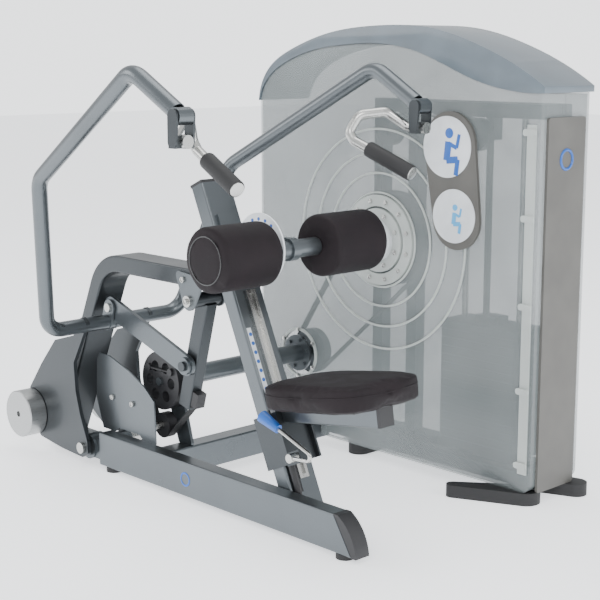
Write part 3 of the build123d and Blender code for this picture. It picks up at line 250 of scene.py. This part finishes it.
# ---- Materials ----
def shader(name, color, roughness, metallic=0.0, coat=0.0, sheen=0.0, alpha=1.0, transmission=0.0, ior=1.5):
    made = bpy.data.materials.new(name)
    made.use_nodes = True
    tree = made.node_tree
    skin = tree.nodes["Principled BSDF"]
    skin.inputs["Base Color"].default_value = (*color, 1)
    skin.inputs["Roughness"].default_value = roughness
    skin.inputs["Metallic"].default_value = metallic
    skin.inputs["Coat Weight"].default_value = coat
    skin.inputs["Coat Roughness"].default_value = 0.12
    skin.inputs["Sheen Weight"].default_value = sheen
    skin.inputs["Alpha"].default_value = alpha
    skin.inputs["Transmission Weight"].default_value = transmission
    skin.inputs["IOR"].default_value = ior
    return made, tree, skin


def coordinates(tree):
    return tree.nodes.new("ShaderNodeTexCoord").outputs["Object"]


def noise(tree, scale, detail=4.0, roughness=0.5, source=None):
    node = tree.nodes.new("ShaderNodeTexNoise")
    node.inputs["Scale"].default_value = scale
    node.inputs["Detail"].default_value = detail
    node.inputs["Roughness"].default_value = roughness
    tree.links.new(source or coordinates(tree), node.inputs["Vector"])
    return node.outputs["Fac"]


def spread(tree, value, low, high, from_low=0.3, from_high=0.7):
    node = tree.nodes.new("ShaderNodeMapRange")
    node.inputs["From Min"].default_value = from_low
    node.inputs["From Max"].default_value = from_high
    node.inputs["To Min"].default_value = low
    node.inputs["To Max"].default_value = high
    tree.links.new(value, node.inputs["Value"])
    return node.outputs["Result"]


def blend_color(tree, value, first, second, positions=(0.0, 1.0)):
    node = tree.nodes.new("ShaderNodeValToRGB")
    node.color_ramp.elements[0].color = (*first, 1)
    node.color_ramp.elements[1].color = (*second, 1)
    node.color_ramp.elements[0].position = positions[0]
    node.color_ramp.elements[1].position = positions[1]
    tree.links.new(value, node.inputs["Fac"])
    return node.outputs["Color"]


def bump(tree, skin, height, strength, distance):
    node = tree.nodes.new("ShaderNodeBump")
    node.inputs["Strength"].default_value = strength
    node.inputs["Distance"].default_value = distance
    tree.links.new(height, node.inputs["Height"])
    tree.links.new(node.outputs["Normal"], skin.inputs["Normal"])


def scaled_coordinates(tree, scale):
    node = tree.nodes.new("ShaderNodeMapping")
    node.inputs["Scale"].default_value = scale
    tree.links.new(coordinates(tree), node.inputs["Vector"])
    return node.outputs["Vector"]


def metallic_paint(name, color, dark, roughness=0.3):
    """Powder coat with fine metal flake and a faint orange peel."""
    made, tree, skin = shader(name, color, roughness, metallic=0.85, coat=0.2)
    flake = noise(tree, 900.0, 2.0)
    cloud = noise(tree, 5.0, 3.0)
    mixed = tree.nodes.new("ShaderNodeMath")
    mixed.operation = "MULTIPLY_ADD"
    mixed.inputs[1].default_value = 0.5
    tree.links.new(flake, mixed.inputs[0])
    half = tree.nodes.new("ShaderNodeMath")
    half.operation = "MULTIPLY"
    half.inputs[1].default_value = 0.5
    tree.links.new(cloud, half.inputs[0])
    tree.links.new(half.outputs[0], mixed.inputs[2])
    tree.links.new(blend_color(tree, mixed.outputs[0], dark, color, (0.32, 0.6)), skin.inputs["Base Color"])
    tree.links.new(spread(tree, cloud, roughness - 0.05, roughness + 0.08), skin.inputs["Roughness"])
    bump(tree, skin, noise(tree, 260.0, 2.0), 0.12, 0.0004)
    return made


def bright_steel(name, color=(0.62, 0.62, 0.6), roughness=0.24, grain=(4.0, 240.0, 4.0)):
    """Steel brushed round its length."""
    made, tree, skin = shader(name, color, roughness, metallic=1.0)
    streak = noise(tree, 6.0, 4.0, 0.6, scaled_coordinates(tree, grain))
    tree.links.new(spread(tree, streak, roughness - 0.08, roughness + 0.12), skin.inputs["Roughness"])
    dark = tuple(c * 0.78 for c in color)
    tree.links.new(blend_color(tree, streak, dark, color, (0.3, 0.7)), skin.inputs["Base Color"])
    bump(tree, skin, streak, 0.08, 0.0003)
    return made


def moulded(name, color, roughness, pit=420.0, depth=0.0005, coat=0.0):
    """Moulded plastic or rubber with a fine spark grain and slight colour drift."""
    made, tree, skin = shader(name, color, roughness, coat=coat)
    cloud = noise(tree, 9.0, 3.0)
    lighter = tuple(min(1.0, c * 1.25 + 0.004) for c in color)
    tree.links.new(blend_color(tree, cloud, color, lighter, (0.35, 0.7)), skin.inputs["Base Color"])
    tree.links.new(spread(tree, cloud, roughness - 0.05, roughness + 0.07), skin.inputs["Roughness"])
    bump(tree, skin, noise(tree, pit, 3.0), 0.25, depth)
    return made


def vinyl(name):
    """Dark upholstery vinyl with a pebbled grain."""
    made, tree, skin = shader(name, (0.013, 0.0095, 0.0115), 0.6)
    skin.inputs["Specular IOR Level"].default_value = 0.2
    cells = tree.nodes.new("ShaderNodeTexVoronoi")
    cells.feature = "DISTANCE_TO_EDGE"
    cells.inputs["Scale"].default_value = 330.0
    tree.links.new(coordinates(tree), cells.inputs["Vector"])
    cloud = noise(tree, 14.0, 4.0)
    tree.links.new(
        blend_color(tree, cloud, (0.010, 0.0072, 0.009), (0.019, 0.014, 0.0165), (0.3, 0.75)),
        skin.inputs["Base Color"],
    )
    tree.links.new(spread(tree, cloud, 0.55, 0.7), skin.inputs["Roughness"])
    bump(tree, skin, spread(tree, cells.outputs["Distance"], 0.0, 1.0, 0.0, 0.25), 0.35, 0.0006)
    return made


def clouded_plastic(name, color, alpha, roughness=0.32):
    """Translucent moulding: see-through, with a milky drift and a gloss."""
    made, tree, skin = shader(name, color, roughness, coat=0.3)
    cloud = noise(tree, 2.6, 4.0)
    paler = tuple(min(1.0, c * 1.16) for c in color)
    tree.links.new(blend_color(tree, cloud, color, paler, (0.35, 0.7)), skin.inputs["Base Color"])
    tree.links.new(spread(tree, cloud, alpha - 0.05, alpha + 0.06), skin.inputs["Alpha"])
    bump(tree, skin, noise(tree, 60.0, 2.0), 0.05, 0.001)
    return made


def belt_weave(name):
    """Flat belt with a fine cross weave."""
    made, tree, skin = shader(name, (0.02, 0.02, 0.021), 0.62)
    wave = tree.nodes.new("ShaderNodeTexWave")
    wave.wave_type = "BANDS"
    wave.bands_direction = "Y"
    wave.inputs["Scale"].default_value = 90.0
    tree.links.new(coordinates(tree), wave.inputs["Vector"])
    tree.links.new(
        blend_color(tree, wave.outputs["Fac"], (0.014, 0.014, 0.015), (0.032, 0.032, 0.033)),
        skin.inputs["Base Color"],
    )
    bump(tree, skin, wave.outputs["Fac"], 0.3, 0.0004)
    return made


def cast_plate(name):
    """Painted iron with a sand-cast skin."""
    made, tree, skin = shader(name, (0.035, 0.037, 0.04), 0.55, metallic=0.2)
    grit = noise(tree, 120.0, 5.0, 0.7)
    tree.links.new(
        blend_color(tree, grit, (0.022, 0.023, 0.025), (0.06, 0.062, 0.066), (0.35, 0.7)),
        skin.inputs["Base Color"],
    )
    bump(tree, skin, grit, 0.4, 0.0006)
    return made


FINISHES = {}


def make_finishes(sizes):
    silver = tuple(sizes.paint_color)
    FINISHES["silver_paint"] = metallic_paint("Silver_Powder_Coat", silver, tuple(c * 0.8 for c in silver))
    FINISHES["dark_paint"] = metallic_paint(
        "Graphite_Powder_Coat", (0.07, 0.078, 0.084), (0.052, 0.058, 0.063), 0.36
    )
    FINISHES["stainless"] = bright_steel("Bright_Steel")
    FINISHES["disc_steel"] = bright_steel("Turned_Steel", (0.5, 0.51, 0.51), 0.34, (120.0, 4.0, 120.0))
    FINISHES["black_plastic"] = moulded("Black_Moulding", (0.018, 0.018, 0.02), 0.42)
    FINISHES["gloss_black"] = moulded("Gloss_Black", (0.004, 0.004, 0.005), 0.24, 300.0, 0.0001, 0.3)
    FINISHES["black_rubber"] = moulded("Black_Rubber", (0.014, 0.014, 0.015), 0.62, 300.0, 0.0007)
    FINISHES["belt_rubber"] = belt_weave("Black_Belt")
    FINISHES["upholstery"] = vinyl("Aubergine_Vinyl")
    FINISHES["white_plastic"] = moulded("White_Moulding", (0.74, 0.77, 0.8), 0.38, 300.0, 0.0002, 0.2)
    FINISHES["blue_plastic"] = moulded("Blue_Moulding", tuple(sizes.accent_color), 0.32, 300.0, 0.0003, 0.3)
    FINISHES["pale_blue"] = moulded("Pale_Blue_Moulding", (0.1, 0.42, 0.78), 0.35, 300.0, 0.0002, 0.2)
    FINISHES["shroud_plastic"] = clouded_plastic("Frosted_Shroud", (0.3, 0.335, 0.34), 0.42, 0.2)
    FINISHES["rib_plastic"] = clouded_plastic("Frosted_Rib", (0.6, 0.64, 0.62), 0.72)
    FINISHES["cover_plastic"] = moulded("Cover_Moulding", tuple(sizes.cover_color), 0.34, 200.0, 0.0002, 0.45)
    FINISHES["panel_plastic"] = moulded("Panel_Moulding", (0.105, 0.102, 0.094), 0.5, 240.0, 0.0005)
    FINISHES["cast_iron"] = cast_plate("Painted_Iron")
    FINISHES["grip_white"] = moulded("Collar_White", (0.62, 0.64, 0.66), 0.4)


def dress_cad_nodes():
    special = {
        "counterweights": "disc_steel",
        "crank_plate_near": "dark_paint",
        "crank_plate_far": "dark_paint",
        "rocker": "dark_paint",
        "link_bar": "silver_paint",
        "gooseneck": "dark_paint",
        "cross_members": "silver_paint",
        "belt_cam": "black_plastic",
        "tower_frame": "dark_paint",
        "shroud_rings": "rib_plastic",
        "corner_rack": "rib_plastic",
        "near_hanger": "dark_paint",
        "far_hanger": "dark_paint",
        "seat_carriage": "dark_paint",
    }
    for part in frame["record"]["subparts"]:
        node = part["node"]
        obj = frame["nodes"][node]
        finish = FINISHES[special.get(node, part["material_slot"])]
        if not obj.material_slots:
            obj.data.materials.append(finish)
        for place in obj.material_slots:
            place.material = finish


# ---- Upholstery ----
def inflate(obj, voxel, pressure, cap, frames=20):
    """Swells a closed form like stuffed upholstery, no point further than the cap."""
    pick(obj)
    obj.data.remesh_voxel_size = voxel
    bpy.ops.object.voxel_remesh()
    rest = [vertex.co.copy() for vertex in obj.data.vertices]
    cloth = obj.modifiers.new("Cloth", "CLOTH")
    cloth.settings.use_pressure = True
    cloth.settings.uniform_pressure_force = pressure
    cloth.settings.effector_weights.gravity = 0
    cloth.settings.quality = 5
    cloth.point_cache.frame_start = 1
    cloth.point_cache.frame_end = frames
    scene = bpy.context.scene
    for step in range(1, frames + 1):
        scene.frame_set(step)
    pick(obj)
    bpy.ops.object.modifier_apply(modifier=cloth.name)
    for vertex, start in zip(obj.data.vertices, rest):
        move = vertex.co - start
        if move.length > cap:
            vertex.co = start + move * (cap / move.length)
    scene.frame_set(1)
    modifier(obj, "SMOOTH", factor=0.5, iterations=4)
    return obj


def seat_point(along, across, up):
    """Point from the seat pad's middle: towards its free end, across, and up from its underside."""
    low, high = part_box("seat_pad")
    centre = (low + high) / 2
    x = centre.x + along * math.cos(SEAT_TILT) - up * math.sin(SEAT_TILT)
    z = centre.z + along * math.sin(SEAT_TILT) + up * math.cos(SEAT_TILT)
    return Vector((x, centre.y + across, z))


def seat_cushion(sizes):
    """Seat pad: flat base, crowned top, sides that pull in, piping round the top edge."""
    length, width, thick = sizes.seat_length, sizes.seat_width, sizes.seat_thickness
    deselect()
    bpy.ops.mesh.primitive_cube_add(size=1, location=(0, 0, 0))
    pad = bpy.context.object
    pad.name = "Seat_Cushion"
    pad.scale = (length - 0.018, width - 0.018, thick - 0.01)
    bpy.ops.object.transform_apply(scale=True)
    pick(pad)
    bpy.ops.object.mode_set(mode="EDIT")
    bpy.ops.mesh.select_all(action="SELECT")
    bpy.ops.mesh.subdivide(number_cuts=11)
    bpy.ops.object.mode_set(mode="OBJECT")
    corner = 0.075
    half = Vector(((length - 0.018) / 2, (width - 0.018) / 2))
    for vertex in pad.data.vertices:
        x, y, z = vertex.co
        over_x = abs(x) - (half.x - corner)
        over_y = abs(y) - (half.y - corner)
        if over_x > 0 and over_y > 0:
            reach = math.hypot(over_x, over_y)
            fit = corner / max(over_x, over_y) * max(over_x, over_y) / corner
            share = min(1.0, max(over_x, over_y) / reach) * fit
            vertex.co.x = math.copysign(half.x - corner + over_x * share, x)
            vertex.co.y = math.copysign(half.y - corner + over_y * share, y)
        rise = max(0.0, z / (thick / 2))
        spread_x = 1 - (x / half.x) ** 2
        spread_y = 1 - (y / half.y) ** 2
        vertex.co.z += rise * 0.010 * max(0, spread_x) * max(0, spread_y)
        # The rear edge is waisted, where it meets the mast.
        front_share = max(0.0, -x / half.x)
        vertex.co.y *= 1 - 0.06 * front_share
    bevel(pad, 0.016, 4, 50)
    modifier(pad, "SMOOTH", factor=0.5, iterations=3)
    inflate(pad, 0.005, 2.0, 0.006)
    modifier(pad, "SUBSURF", levels=1, render_levels=1)
    smooth(pad, 60)
    centre = seat_point(0, 0, 0)
    pad.matrix_world = Matrix.Translation(centre) @ Matrix.Rotation(-SEAT_TILT, 4, "Y")
    settle(pad)
    finish_piece(pad, "seat", FINISHES["upholstery"], ["seat_pad"])
    # Boxing seam that lies on the pad's side.
    points = []
    for index in range(72):
        angle = 2 * math.pi * index / 72
        across = math.copysign(abs(math.sin(angle)) ** 0.42, math.sin(angle))
        along = math.copysign(abs(math.cos(angle)) ** 0.42, math.cos(angle))
        spot = seat_point(along * length / 2, across * width / 2, thick * 0.16)
        points.append(pad.closest_point_on_mesh(spot)[1])
    seam = bar("Seat_Seam", points, 0.0016, closed=True, bend=3, rounds=8)
    smooth(seam, 60)
    finish_piece(seam, "seat", FINISHES["upholstery"])
    # Padded underside board.
    board = cuboid("Seat_Board", (0, 0, 0), (length - 0.07, width - 0.08, 0.010))
    bevel(board, 0.004, 2)
    spot = seat_point(0, 0, -thick / 2 + 0.005)
    board.matrix_world = Matrix.Translation(spot) @ Matrix.Rotation(-SEAT_TILT, 4, "Y")
    settle(board)
    finish_piece(board, "seat", FINISHES["black_plastic"])


def roller(name, node, body, outward):
    """Foam roller in a vinyl sleeve, with a dished black end cap."""
    low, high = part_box(node)
    centre = (low + high) / 2
    radius = (high.z - low.z) / 2
    length = high.y - low.y
    pad = cylinder(name, centre, radius - 0.005, length - 0.008, "Y", 72)
    inset_and_push(pad, lambda face: abs(face.normal.y) > 0.9, radius * 0.3, 0.0)
    bevel(pad, 0.011, 3, 50)
    inflate(pad, 0.0045, 2.0, 0.004)
    modifier(pad, "SUBSURF", levels=1, render_levels=1)
    smooth(pad, 60)
    finish_piece(pad, body, FINISHES["upholstery"], [node])
    end = high.y if outward > 0 else low.y
    cap = cylinder(name + "_Cap", (centre.x, end - outward * 0.013, centre.z), radius * 0.7, 0.026, "Y", 72)
    dished = [(0.004, -0.003), (0.006, -0.006), (0.008, -0.005), (0.012, -0.004)]
    for inset, push in dished:
        inset_and_push(cap, lambda face: face.normal.y * outward > 0.9 and face.area > 0.003, inset, push)
    bevel(cap, 0.0012, 2)
    smooth(cap, 60)
    finish_piece(cap, body, FINISHES["gloss_black"])


# ---- Tower mouldings ----
def hub_rings():
    """Moulded rings round the drum's bearing on the tower's near face."""
    pieces = []
    face = TOWER_NEAR - 2
    for radius in (141, 199, 260, 328):
        pieces.append(ring("rib", at(HUB[0], face, HUB[1]), radius / 1000, 0.0035, "Y", 160, 8))
    whole = join("Tower_Ribs", pieces)
    smooth(whole, 60)
    finish_piece(whole, "frame", FINISHES["rib_plastic"])


def hub_bolts():
    bolts = []
    for centre, radius, count, depth in ((HUB, 78.0, 8, 16.0), (HUB, 118.0, 12, 12.0), (PORT, 76.0, 6, 8.0)):
        for index in range(count):
            angle = 2 * math.pi * (index + 0.5) / count
            spot = at(
                centre[0] + radius * math.cos(angle), TOWER_NEAR - depth, centre[1] + radius * math.sin(angle)
            )
            bolt = cylinder("bolt", spot, 0.0068, 0.006, "Y", 20)
            bevel(bolt, 0.0012, 2)
            bolts.append(bolt)
    whole = join("Tower_Bolts", bolts)
    smooth(whole, 40)
    finish_piece(whole, "frame", FINISHES["stainless"])
    boss = cylinder("Hub_Cap", at(HUB[0], TOWER_NEAR - 18, HUB[1]), 0.062, 0.022, "Y", 72)
    inset_and_push(boss, lambda face: face.normal.y < -0.9, 0.012, 0.004)
    inset_and_push(boss, lambda face: face.normal.y < -0.9 and face.area > 0.004, 0.012, -0.006)
    bevel(boss, 0.003, 3)
    smooth(boss, 40)
    finish_piece(boss, "frame", FINISHES["grip_white"])


def placard_art():
    """Two pale discs on the information board, which carry the plain figures."""
    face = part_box("placard")[0].y
    sheets = []
    for centre, radius in ((PLACARD_TOP, 86.0), (PLACARD_FOOT, 76.0)):
        disc = cylinder("sheet", at(centre[0], 0, centre[1]), radius / 1000, 0.003, "Y", 72)
        disc.location.y = (face - 0.0005) - at(0, 0, 0).y
        settle(disc)
        sheets.append(disc)
    whole = join("Placard_Sheet", sheets)
    finish_piece(whole, "frame", FINISHES["white_plastic"])


def figure(name, origin, scale, finish):
    """Plain seated figure: round head, trunk, thigh, shin and raised arm as soft bars."""
    limbs = [
        [(0, 18), (-6, -34)],
        [(-6, -34), (34, -30)],
        [(34, -30), (28, -74)],
        [(0, 14), (30, 2)],
        [(30, 2), (38, 40)],
    ]
    widths = [12, 10, 8, 6, 5.5]
    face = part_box("placard")[0].y - 0.003
    pieces = []
    for (start, end), width in zip(limbs, widths):
        points = []
        for x, z in (start, end):
            spot = at(origin[0] + x * scale, 0, origin[1] + z * scale)
            points.append(Vector((spot.x, face, spot.z)))
        pieces.append(bar("limb", points, width * scale / 1000, bend=2, rounds=12))
    deselect()
    spot = at(origin[0] + 2 * scale, 0, origin[1] + 42 * scale)
    bpy.ops.mesh.primitive_uv_sphere_add(radius=0.0145 * scale, location=(spot.x, face, spot.z))
    head = settle(bpy.context.object)
    pieces.append(head)
    whole = join(name, pieces)
    for vertex in whole.data.vertices:
        vertex.co.y = face + (vertex.co.y - face) * 0.12
    smooth(whole, 60)
    finish_piece(whole, "frame", finish)


def front_mark():
    """Plain blue ring on the front panel."""
    low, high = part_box("front_panel")
    centre = Vector((high.x, (low.y + high.y) / 2, 0.955))
    mark = ring("Panel_Ring", centre, 0.026, 0.004, "X", 64, 10)
    smooth(mark, 60)
    finish_piece(mark, "frame", FINISHES["blue_plastic"])


def cover_shell():
    """Top cover with its edges rounded over."""
    source = frame["nodes"]["top_cover"]
    shell = source.copy()
    shell.data = source.data.copy()
    shell.name = "Cover_Shell"
    shell.parent = None
    bpy.context.scene.collection.objects.link(shell)
    pick(shell)
    bpy.ops.object.mode_set(mode="EDIT")
    bpy.ops.mesh.select_all(action="SELECT")
    bpy.ops.mesh.remove_doubles(threshold=0.0001)
    bpy.ops.mesh.dissolve_limited(angle_limit=math.radians(1.0))
    bpy.ops.object.mode_set(mode="OBJECT")
    bevel(shell, 0.018, 5, 50)
    smooth(shell, 40)
    finish_piece(shell, "frame", FINISHES["cover_plastic"], ["top_cover"])


def index_dots():
    """Blue dots on the index disc and on the height scale."""
    dots = []
    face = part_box("index_disc")[0].y - 0.0006
    for index in range(14):
        angle = math.radians(55 + index * 19)
        spot = at(PAD_PIVOT[0] + 76 * math.cos(angle), 0, PAD_PIVOT[1] + 76 * math.sin(angle))
        dots.append(cylinder("dot", (spot.x, face, spot.z), 0.0045, 0.0016, "Y", 20))
    whole = join("Index_Dots", dots)
    bevel(whole, 0.0004, 1)
    finish_piece(whole, "pad_arm", FINISHES["blue_plastic"])
    marks = []
    for index in range(11):
        spot = on_mast(25 + 1.9, -35, 272 + index * 25)
        dot = cylinder("mark", (0, 0, 0), 0.0052, 0.0014, "X", 20)
        dot.matrix_world = Matrix.Translation(spot) @ MAST_TURN
        marks.append(settle(dot))
    whole = join("Scale_Dots", marks)
    finish_piece(whole, "frame", FINISHES["blue_plastic"])


# ---- Small fittings ----
def grips():
    """Smooth rubber grips with a bright disc on the free end."""
    for side, body in (("near", "near_handle"), ("far", "far_handle")):
        node = side + "_grip"
        obj = frame["nodes"][node]
        points = [vertex.co.copy() for vertex in obj.data.vertices]
        start, end = grip_axis(points)
        direction = (end - start).normalized()
        turn = direction.to_track_quat("Z", "Y").to_matrix().to_4x4()
        length = (end - start).length
        deselect()
        bpy.ops.mesh.primitive_cylinder_add(vertices=48, radius=0.0215, depth=length)
        grip = bpy.context.object
        grip.name = side.title() + "_Grip_Sleeve"
        bevel(grip, 0.003, 3, 50)
        smooth(grip, 50)
        grip.matrix_world = Matrix.Translation((start + end) / 2) @ turn
        settle(grip)
        finish_piece(grip, body, FINISHES["black_rubber"], [node])
        collar = cylinder(side.title() + "_Grip_End", (0, 0, length / 2), 0.0185, 0.005, "Z", 56)
        bevel(collar, 0.0015, 3, 50)
        smooth(collar, 60)
        collar.matrix_world = Matrix.Translation((start + end) / 2) @ turn
        settle(collar)
        finish_piece(collar, body, FINISHES["stainless"])


def grip_axis(points):
    """Two end centres of a round bar from its surface points."""
    middle = sum(points, Vector()) / len(points)
    far = max(points, key=lambda point: (point - middle).length)
    rough = (far - middle).normalized()
    for _ in range(12):
        total = Vector()
        for point in points:
            offset = point - middle
            total += offset * offset.dot(rough)
        rough = total.normalized()
    reach = [(point - middle).dot(rough) for point in points]
    start, end = middle + rough * min(reach), middle + rough * max(reach)
    if start.x > end.x:
        start, end = end, start
    return start, end


def beam_mark():
    """Plain blue ring on the base beam's side."""
    y = BEAM_CORNER.y - 0.0005
    mark = ring("Beam_Ring", (at(-150, 0, 0).x, y, 0.066), 0.018, 0.0028, "Y", 64, 8)
    for vertex in mark.data.vertices:
        vertex.co.y = y + (vertex.co.y - y) * 0.3
    smooth(mark, 60)
    finish_piece(mark, "frame", FINISHES["blue_plastic"])


def loose_copy(node, name):
    """Copy of a CAD node's mesh, with cuts along it so that it can bend."""
    source = frame["nodes"][node]
    made = source.copy()
    made.data = source.data.copy()
    made.name = name
    made.parent = None
    bpy.context.scene.collection.objects.link(made)
    pick(made)
    bpy.ops.object.mode_set(mode="EDIT")
    bpy.ops.mesh.select_all(action="SELECT")
    bpy.ops.mesh.remove_doubles(threshold=0.00005)
    bpy.ops.mesh.subdivide(number_cuts=8)
    bpy.ops.object.mode_set(mode="OBJECT")
    made.data.materials.clear()
    made.data.materials.append(FINISHES["belt_rubber"])
    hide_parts(node)
    return made


def belts():
    """Belt from the cam to the rocker, and strap from the crown pulley to the stack."""
    strap = loose_copy("drive_strap", "Rocker_Belt")
    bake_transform(strap)
    drop = loose_copy("stack_strap", "Stack_Strap")
    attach(drop, "frame")
    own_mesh(drop)


def plate_bolts():
    bolts = []
    spots = [((-547, 220), 45), ((-449, 217), 45), ((-200, 620), 44), ((-135, 625), 44), ((-178, 562), 36)]
    for (x, z), y in spots:
        bolt = cylinder("bolt", at(x, y - 3.5, z), 0.0085, 0.007, "Y", 28)
        inset_and_push(bolt, lambda face: face.normal.y < -0.9, 0.003, -0.003)
        bevel(bolt, 0.0012, 2)
        bolts.append(bolt)
    whole = join("Frame_Bolts", bolts)
    smooth(whole, 40)
    finish_piece(whole, "frame", FINISHES["stainless"])


# ---- Stage ----
def stage(sizes):
    deselect()
    bpy.ops.mesh.primitive_plane_add(size=40, location=(0, 0, 0))
    floor = bpy.context.object
    floor.name = "Floor"
    paint, tree, skin = shader("Pale_Floor", (0.93, 0.94, 0.95), 0.8)
    cloud = noise(tree, 0.6, 2.0)
    tones = blend_color(tree, cloud, (0.92, 0.93, 0.94), (0.95, 0.96, 0.97))
    tree.links.new(tones, skin.inputs["Base Color"])
    skin.inputs["Emission Color"].default_value = (0.95, 0.97, 1.0, 1)
    skin.inputs["Emission Strength"].default_value = 1.1
    floor.data.materials.append(paint)
    world = bpy.context.scene.world or bpy.data.worlds.new("Room")
    bpy.context.scene.world = world
    world.use_nodes = True
    sky = world.node_tree.nodes["Background"]
    sky.inputs["Color"].default_value = (0.96, 0.98, 1.0, 1)
    sky.inputs["Strength"].default_value = 1.0
    seen = world.node_tree.nodes.new("ShaderNodeLightPath")
    level = world.node_tree.nodes.new("ShaderNodeMapRange")
    level.inputs["To Min"].default_value = 1.0
    level.inputs["To Max"].default_value = 2.4
    world.node_tree.links.new(seen.outputs["Is Camera Ray"], level.inputs["Value"])
    world.node_tree.links.new(level.outputs["Result"], sky.inputs["Strength"])
    lamp("Key_Light", (3.2, -4.2, 4.2), (0.0, 0.0, 0.6), 130.0, 3.0)
    lamp("Left_Light", (-3.8, -3.4, 2.8), (0.0, 0.0, 0.7), 60.0, 2.2)
    lamp("Front_Light", (4.6, 0.8, 2.2), (0.3, 0.3, 0.7), 55.0, 1.6)
    lamp("Top_Light", (-0.4, 0.6, 5.0), (0.0, 0.1, 0.0), 80.0, 3.0)
    camera_data = bpy.data.cameras.new("Camera")
    camera = bpy.data.objects.new("Camera", camera_data)
    bpy.context.scene.collection.objects.link(camera)
    camera_data.lens = sizes.lens
    camera_data.sensor_width = 36
    camera_data.clip_end = 60
    azimuth = math.radians(46.5)
    pitch = math.radians(10.5)
    look = Vector(
        (-math.sin(azimuth) * math.cos(pitch), math.cos(azimuth) * math.cos(pitch), -math.sin(pitch))
    )
    camera.location = at(2692, -2255, 1245)
    camera.rotation_euler = look.to_track_quat("-Z", "Y").to_euler()
    bpy.context.scene.camera = camera


def lamp(name, place, target, power, size):
    data = bpy.data.lights.new(name, "AREA")
    data.energy = power
    data.size = size
    made = bpy.data.objects.new(name, data)
    bpy.context.scene.collection.objects.link(made)
    made.location = place
    aim = Vector(target) - Vector(place)
    made.rotation_euler = aim.to_track_quat("-Z", "Y").to_euler()


# ---- Add-on classes ----
class PulldownSizes(bpy.types.PropertyGroup):
    seat_length: bpy.props.FloatProperty(
        name="Seat length", description="Seat pad from rear to free end", default=0.384, unit="LENGTH"
    )
    seat_width: bpy.props.FloatProperty(
        name="Seat width", description="Seat pad across the machine", default=0.304, unit="LENGTH"
    )
    seat_thickness: bpy.props.FloatProperty(
        name="Seat thickness", description="Seat pad from base to crown", default=0.066, unit="LENGTH"
    )
    lens: bpy.props.FloatProperty(
        name="Lens", description="Focal length of the camera in millimetres", default=81.0
    )
    paint_color: bpy.props.FloatVectorProperty(
        name="Frame paint",
        description="Colour of the frame tubes",
        subtype="COLOR",
        default=(0.145, 0.162, 0.174),
    )
    accent_color: bpy.props.FloatVectorProperty(
        name="Accent",
        description="Colour of the adjustment grips and marks",
        subtype="COLOR",
        default=(0.01, 0.1, 0.42),
    )
    cover_color: bpy.props.FloatVectorProperty(
        name="Cover",
        description="Colour of the tower's top cover",
        subtype="COLOR",
        default=(0.11, 0.14, 0.165),
    )


class PULLDOWN_OT_finishes(bpy.types.Operator):
    """Give every frame part its paint, steel, rubber or plastic"""

    bl_idname = "pulldown.finishes"
    bl_label = "Finishes"

    def execute(self, context):
        make_finishes(context.scene.pulldown)
        dress_cad_nodes()
        return {"FINISHED"}


class PULLDOWN_OT_seat(bpy.types.Operator):
    """Make the seat cushion with its piping and board"""

    bl_idname = "pulldown.seat"
    bl_label = "Seat cushion"

    def execute(self, context):
        seat_cushion(context.scene.pulldown)
        return {"FINISHED"}


class PULLDOWN_OT_rollers(bpy.types.Operator):
    """Make both thigh rollers with their end caps"""

    bl_idname = "pulldown.rollers"
    bl_label = "Thigh rollers"

    def execute(self, context):
        roller("Near_Roller_Sleeve", "near_roller", "near_roller", -1)
        roller("Far_Roller_Sleeve", "far_roller", "far_roller", 1)
        return {"FINISHED"}


class PULLDOWN_OT_tower(bpy.types.Operator):
    """Make the tower's cover, ribs, bolts and marks"""

    bl_idname = "pulldown.tower"
    bl_label = "Tower mouldings"

    def execute(self, context):
        cover_shell()
        hub_rings()
        hub_bolts()
        front_mark()
        return {"FINISHED"}


class PULLDOWN_OT_placard(bpy.types.Operator):
    """Make the information board's sheet and plain figures"""

    bl_idname = "pulldown.placard"
    bl_label = "Placard"

    def execute(self, context):
        placard_art()
        figure("Placard_Figure_Large", (235, 975), 1.0, FINISHES["blue_plastic"])
        figure("Placard_Figure_Small", (262, 785), 0.62, FINISHES["pale_blue"])
        return {"FINISHED"}


class PULLDOWN_OT_fittings(bpy.types.Operator):
    """Make the grips, dots and bolts"""

    bl_idname = "pulldown.fittings"
    bl_label = "Grips, dots and bolts"

    def execute(self, context):
        grips()
        belts()
        index_dots()
        plate_bolts()
        beam_mark()
        return {"FINISHED"}


class PULLDOWN_OT_stage(bpy.types.Operator):
    """Make the floor, lights and camera"""

    bl_idname = "pulldown.stage"
    bl_label = "Stage"

    def execute(self, context):
        stage(context.scene.pulldown)
        return {"FINISHED"}


STEPS = (
    PULLDOWN_OT_finishes,
    PULLDOWN_OT_seat,
    PULLDOWN_OT_rollers,
    PULLDOWN_OT_tower,
    PULLDOWN_OT_placard,
    PULLDOWN_OT_fittings,
    PULLDOWN_OT_stage,
)


class PULLDOWN_PT_panel(bpy.types.Panel):
    bl_idname = "PULLDOWN_PT_panel"
    bl_label = "Lat pulldown machine"
    bl_space_type = "VIEW_3D"
    bl_region_type = "UI"
    bl_category = "Pulldown"

    def draw(self, context):
        sizes = context.scene.pulldown
        for name in sizes.__annotations__:
            self.layout.prop(sizes, name)
        for step in STEPS:
            self.layout.operator(step.bl_idname)


CLASSES = (PulldownSizes, *STEPS, PULLDOWN_PT_panel)


def register():
    for made in CLASSES:
        bpy.utils.register_class(made)
    bpy.types.Scene.pulldown = bpy.props.PointerProperty(type=PulldownSizes)


def unregister():
    del bpy.types.Scene.pulldown
    for made in reversed(CLASSES):
        bpy.utils.unregister_class(made)


def main():
    register()
    for step in STEPS:
        group, name = step.bl_idname.split(".")
        getattr(getattr(bpy.ops, group), name)()


if __name__ == "__main__":
    main()
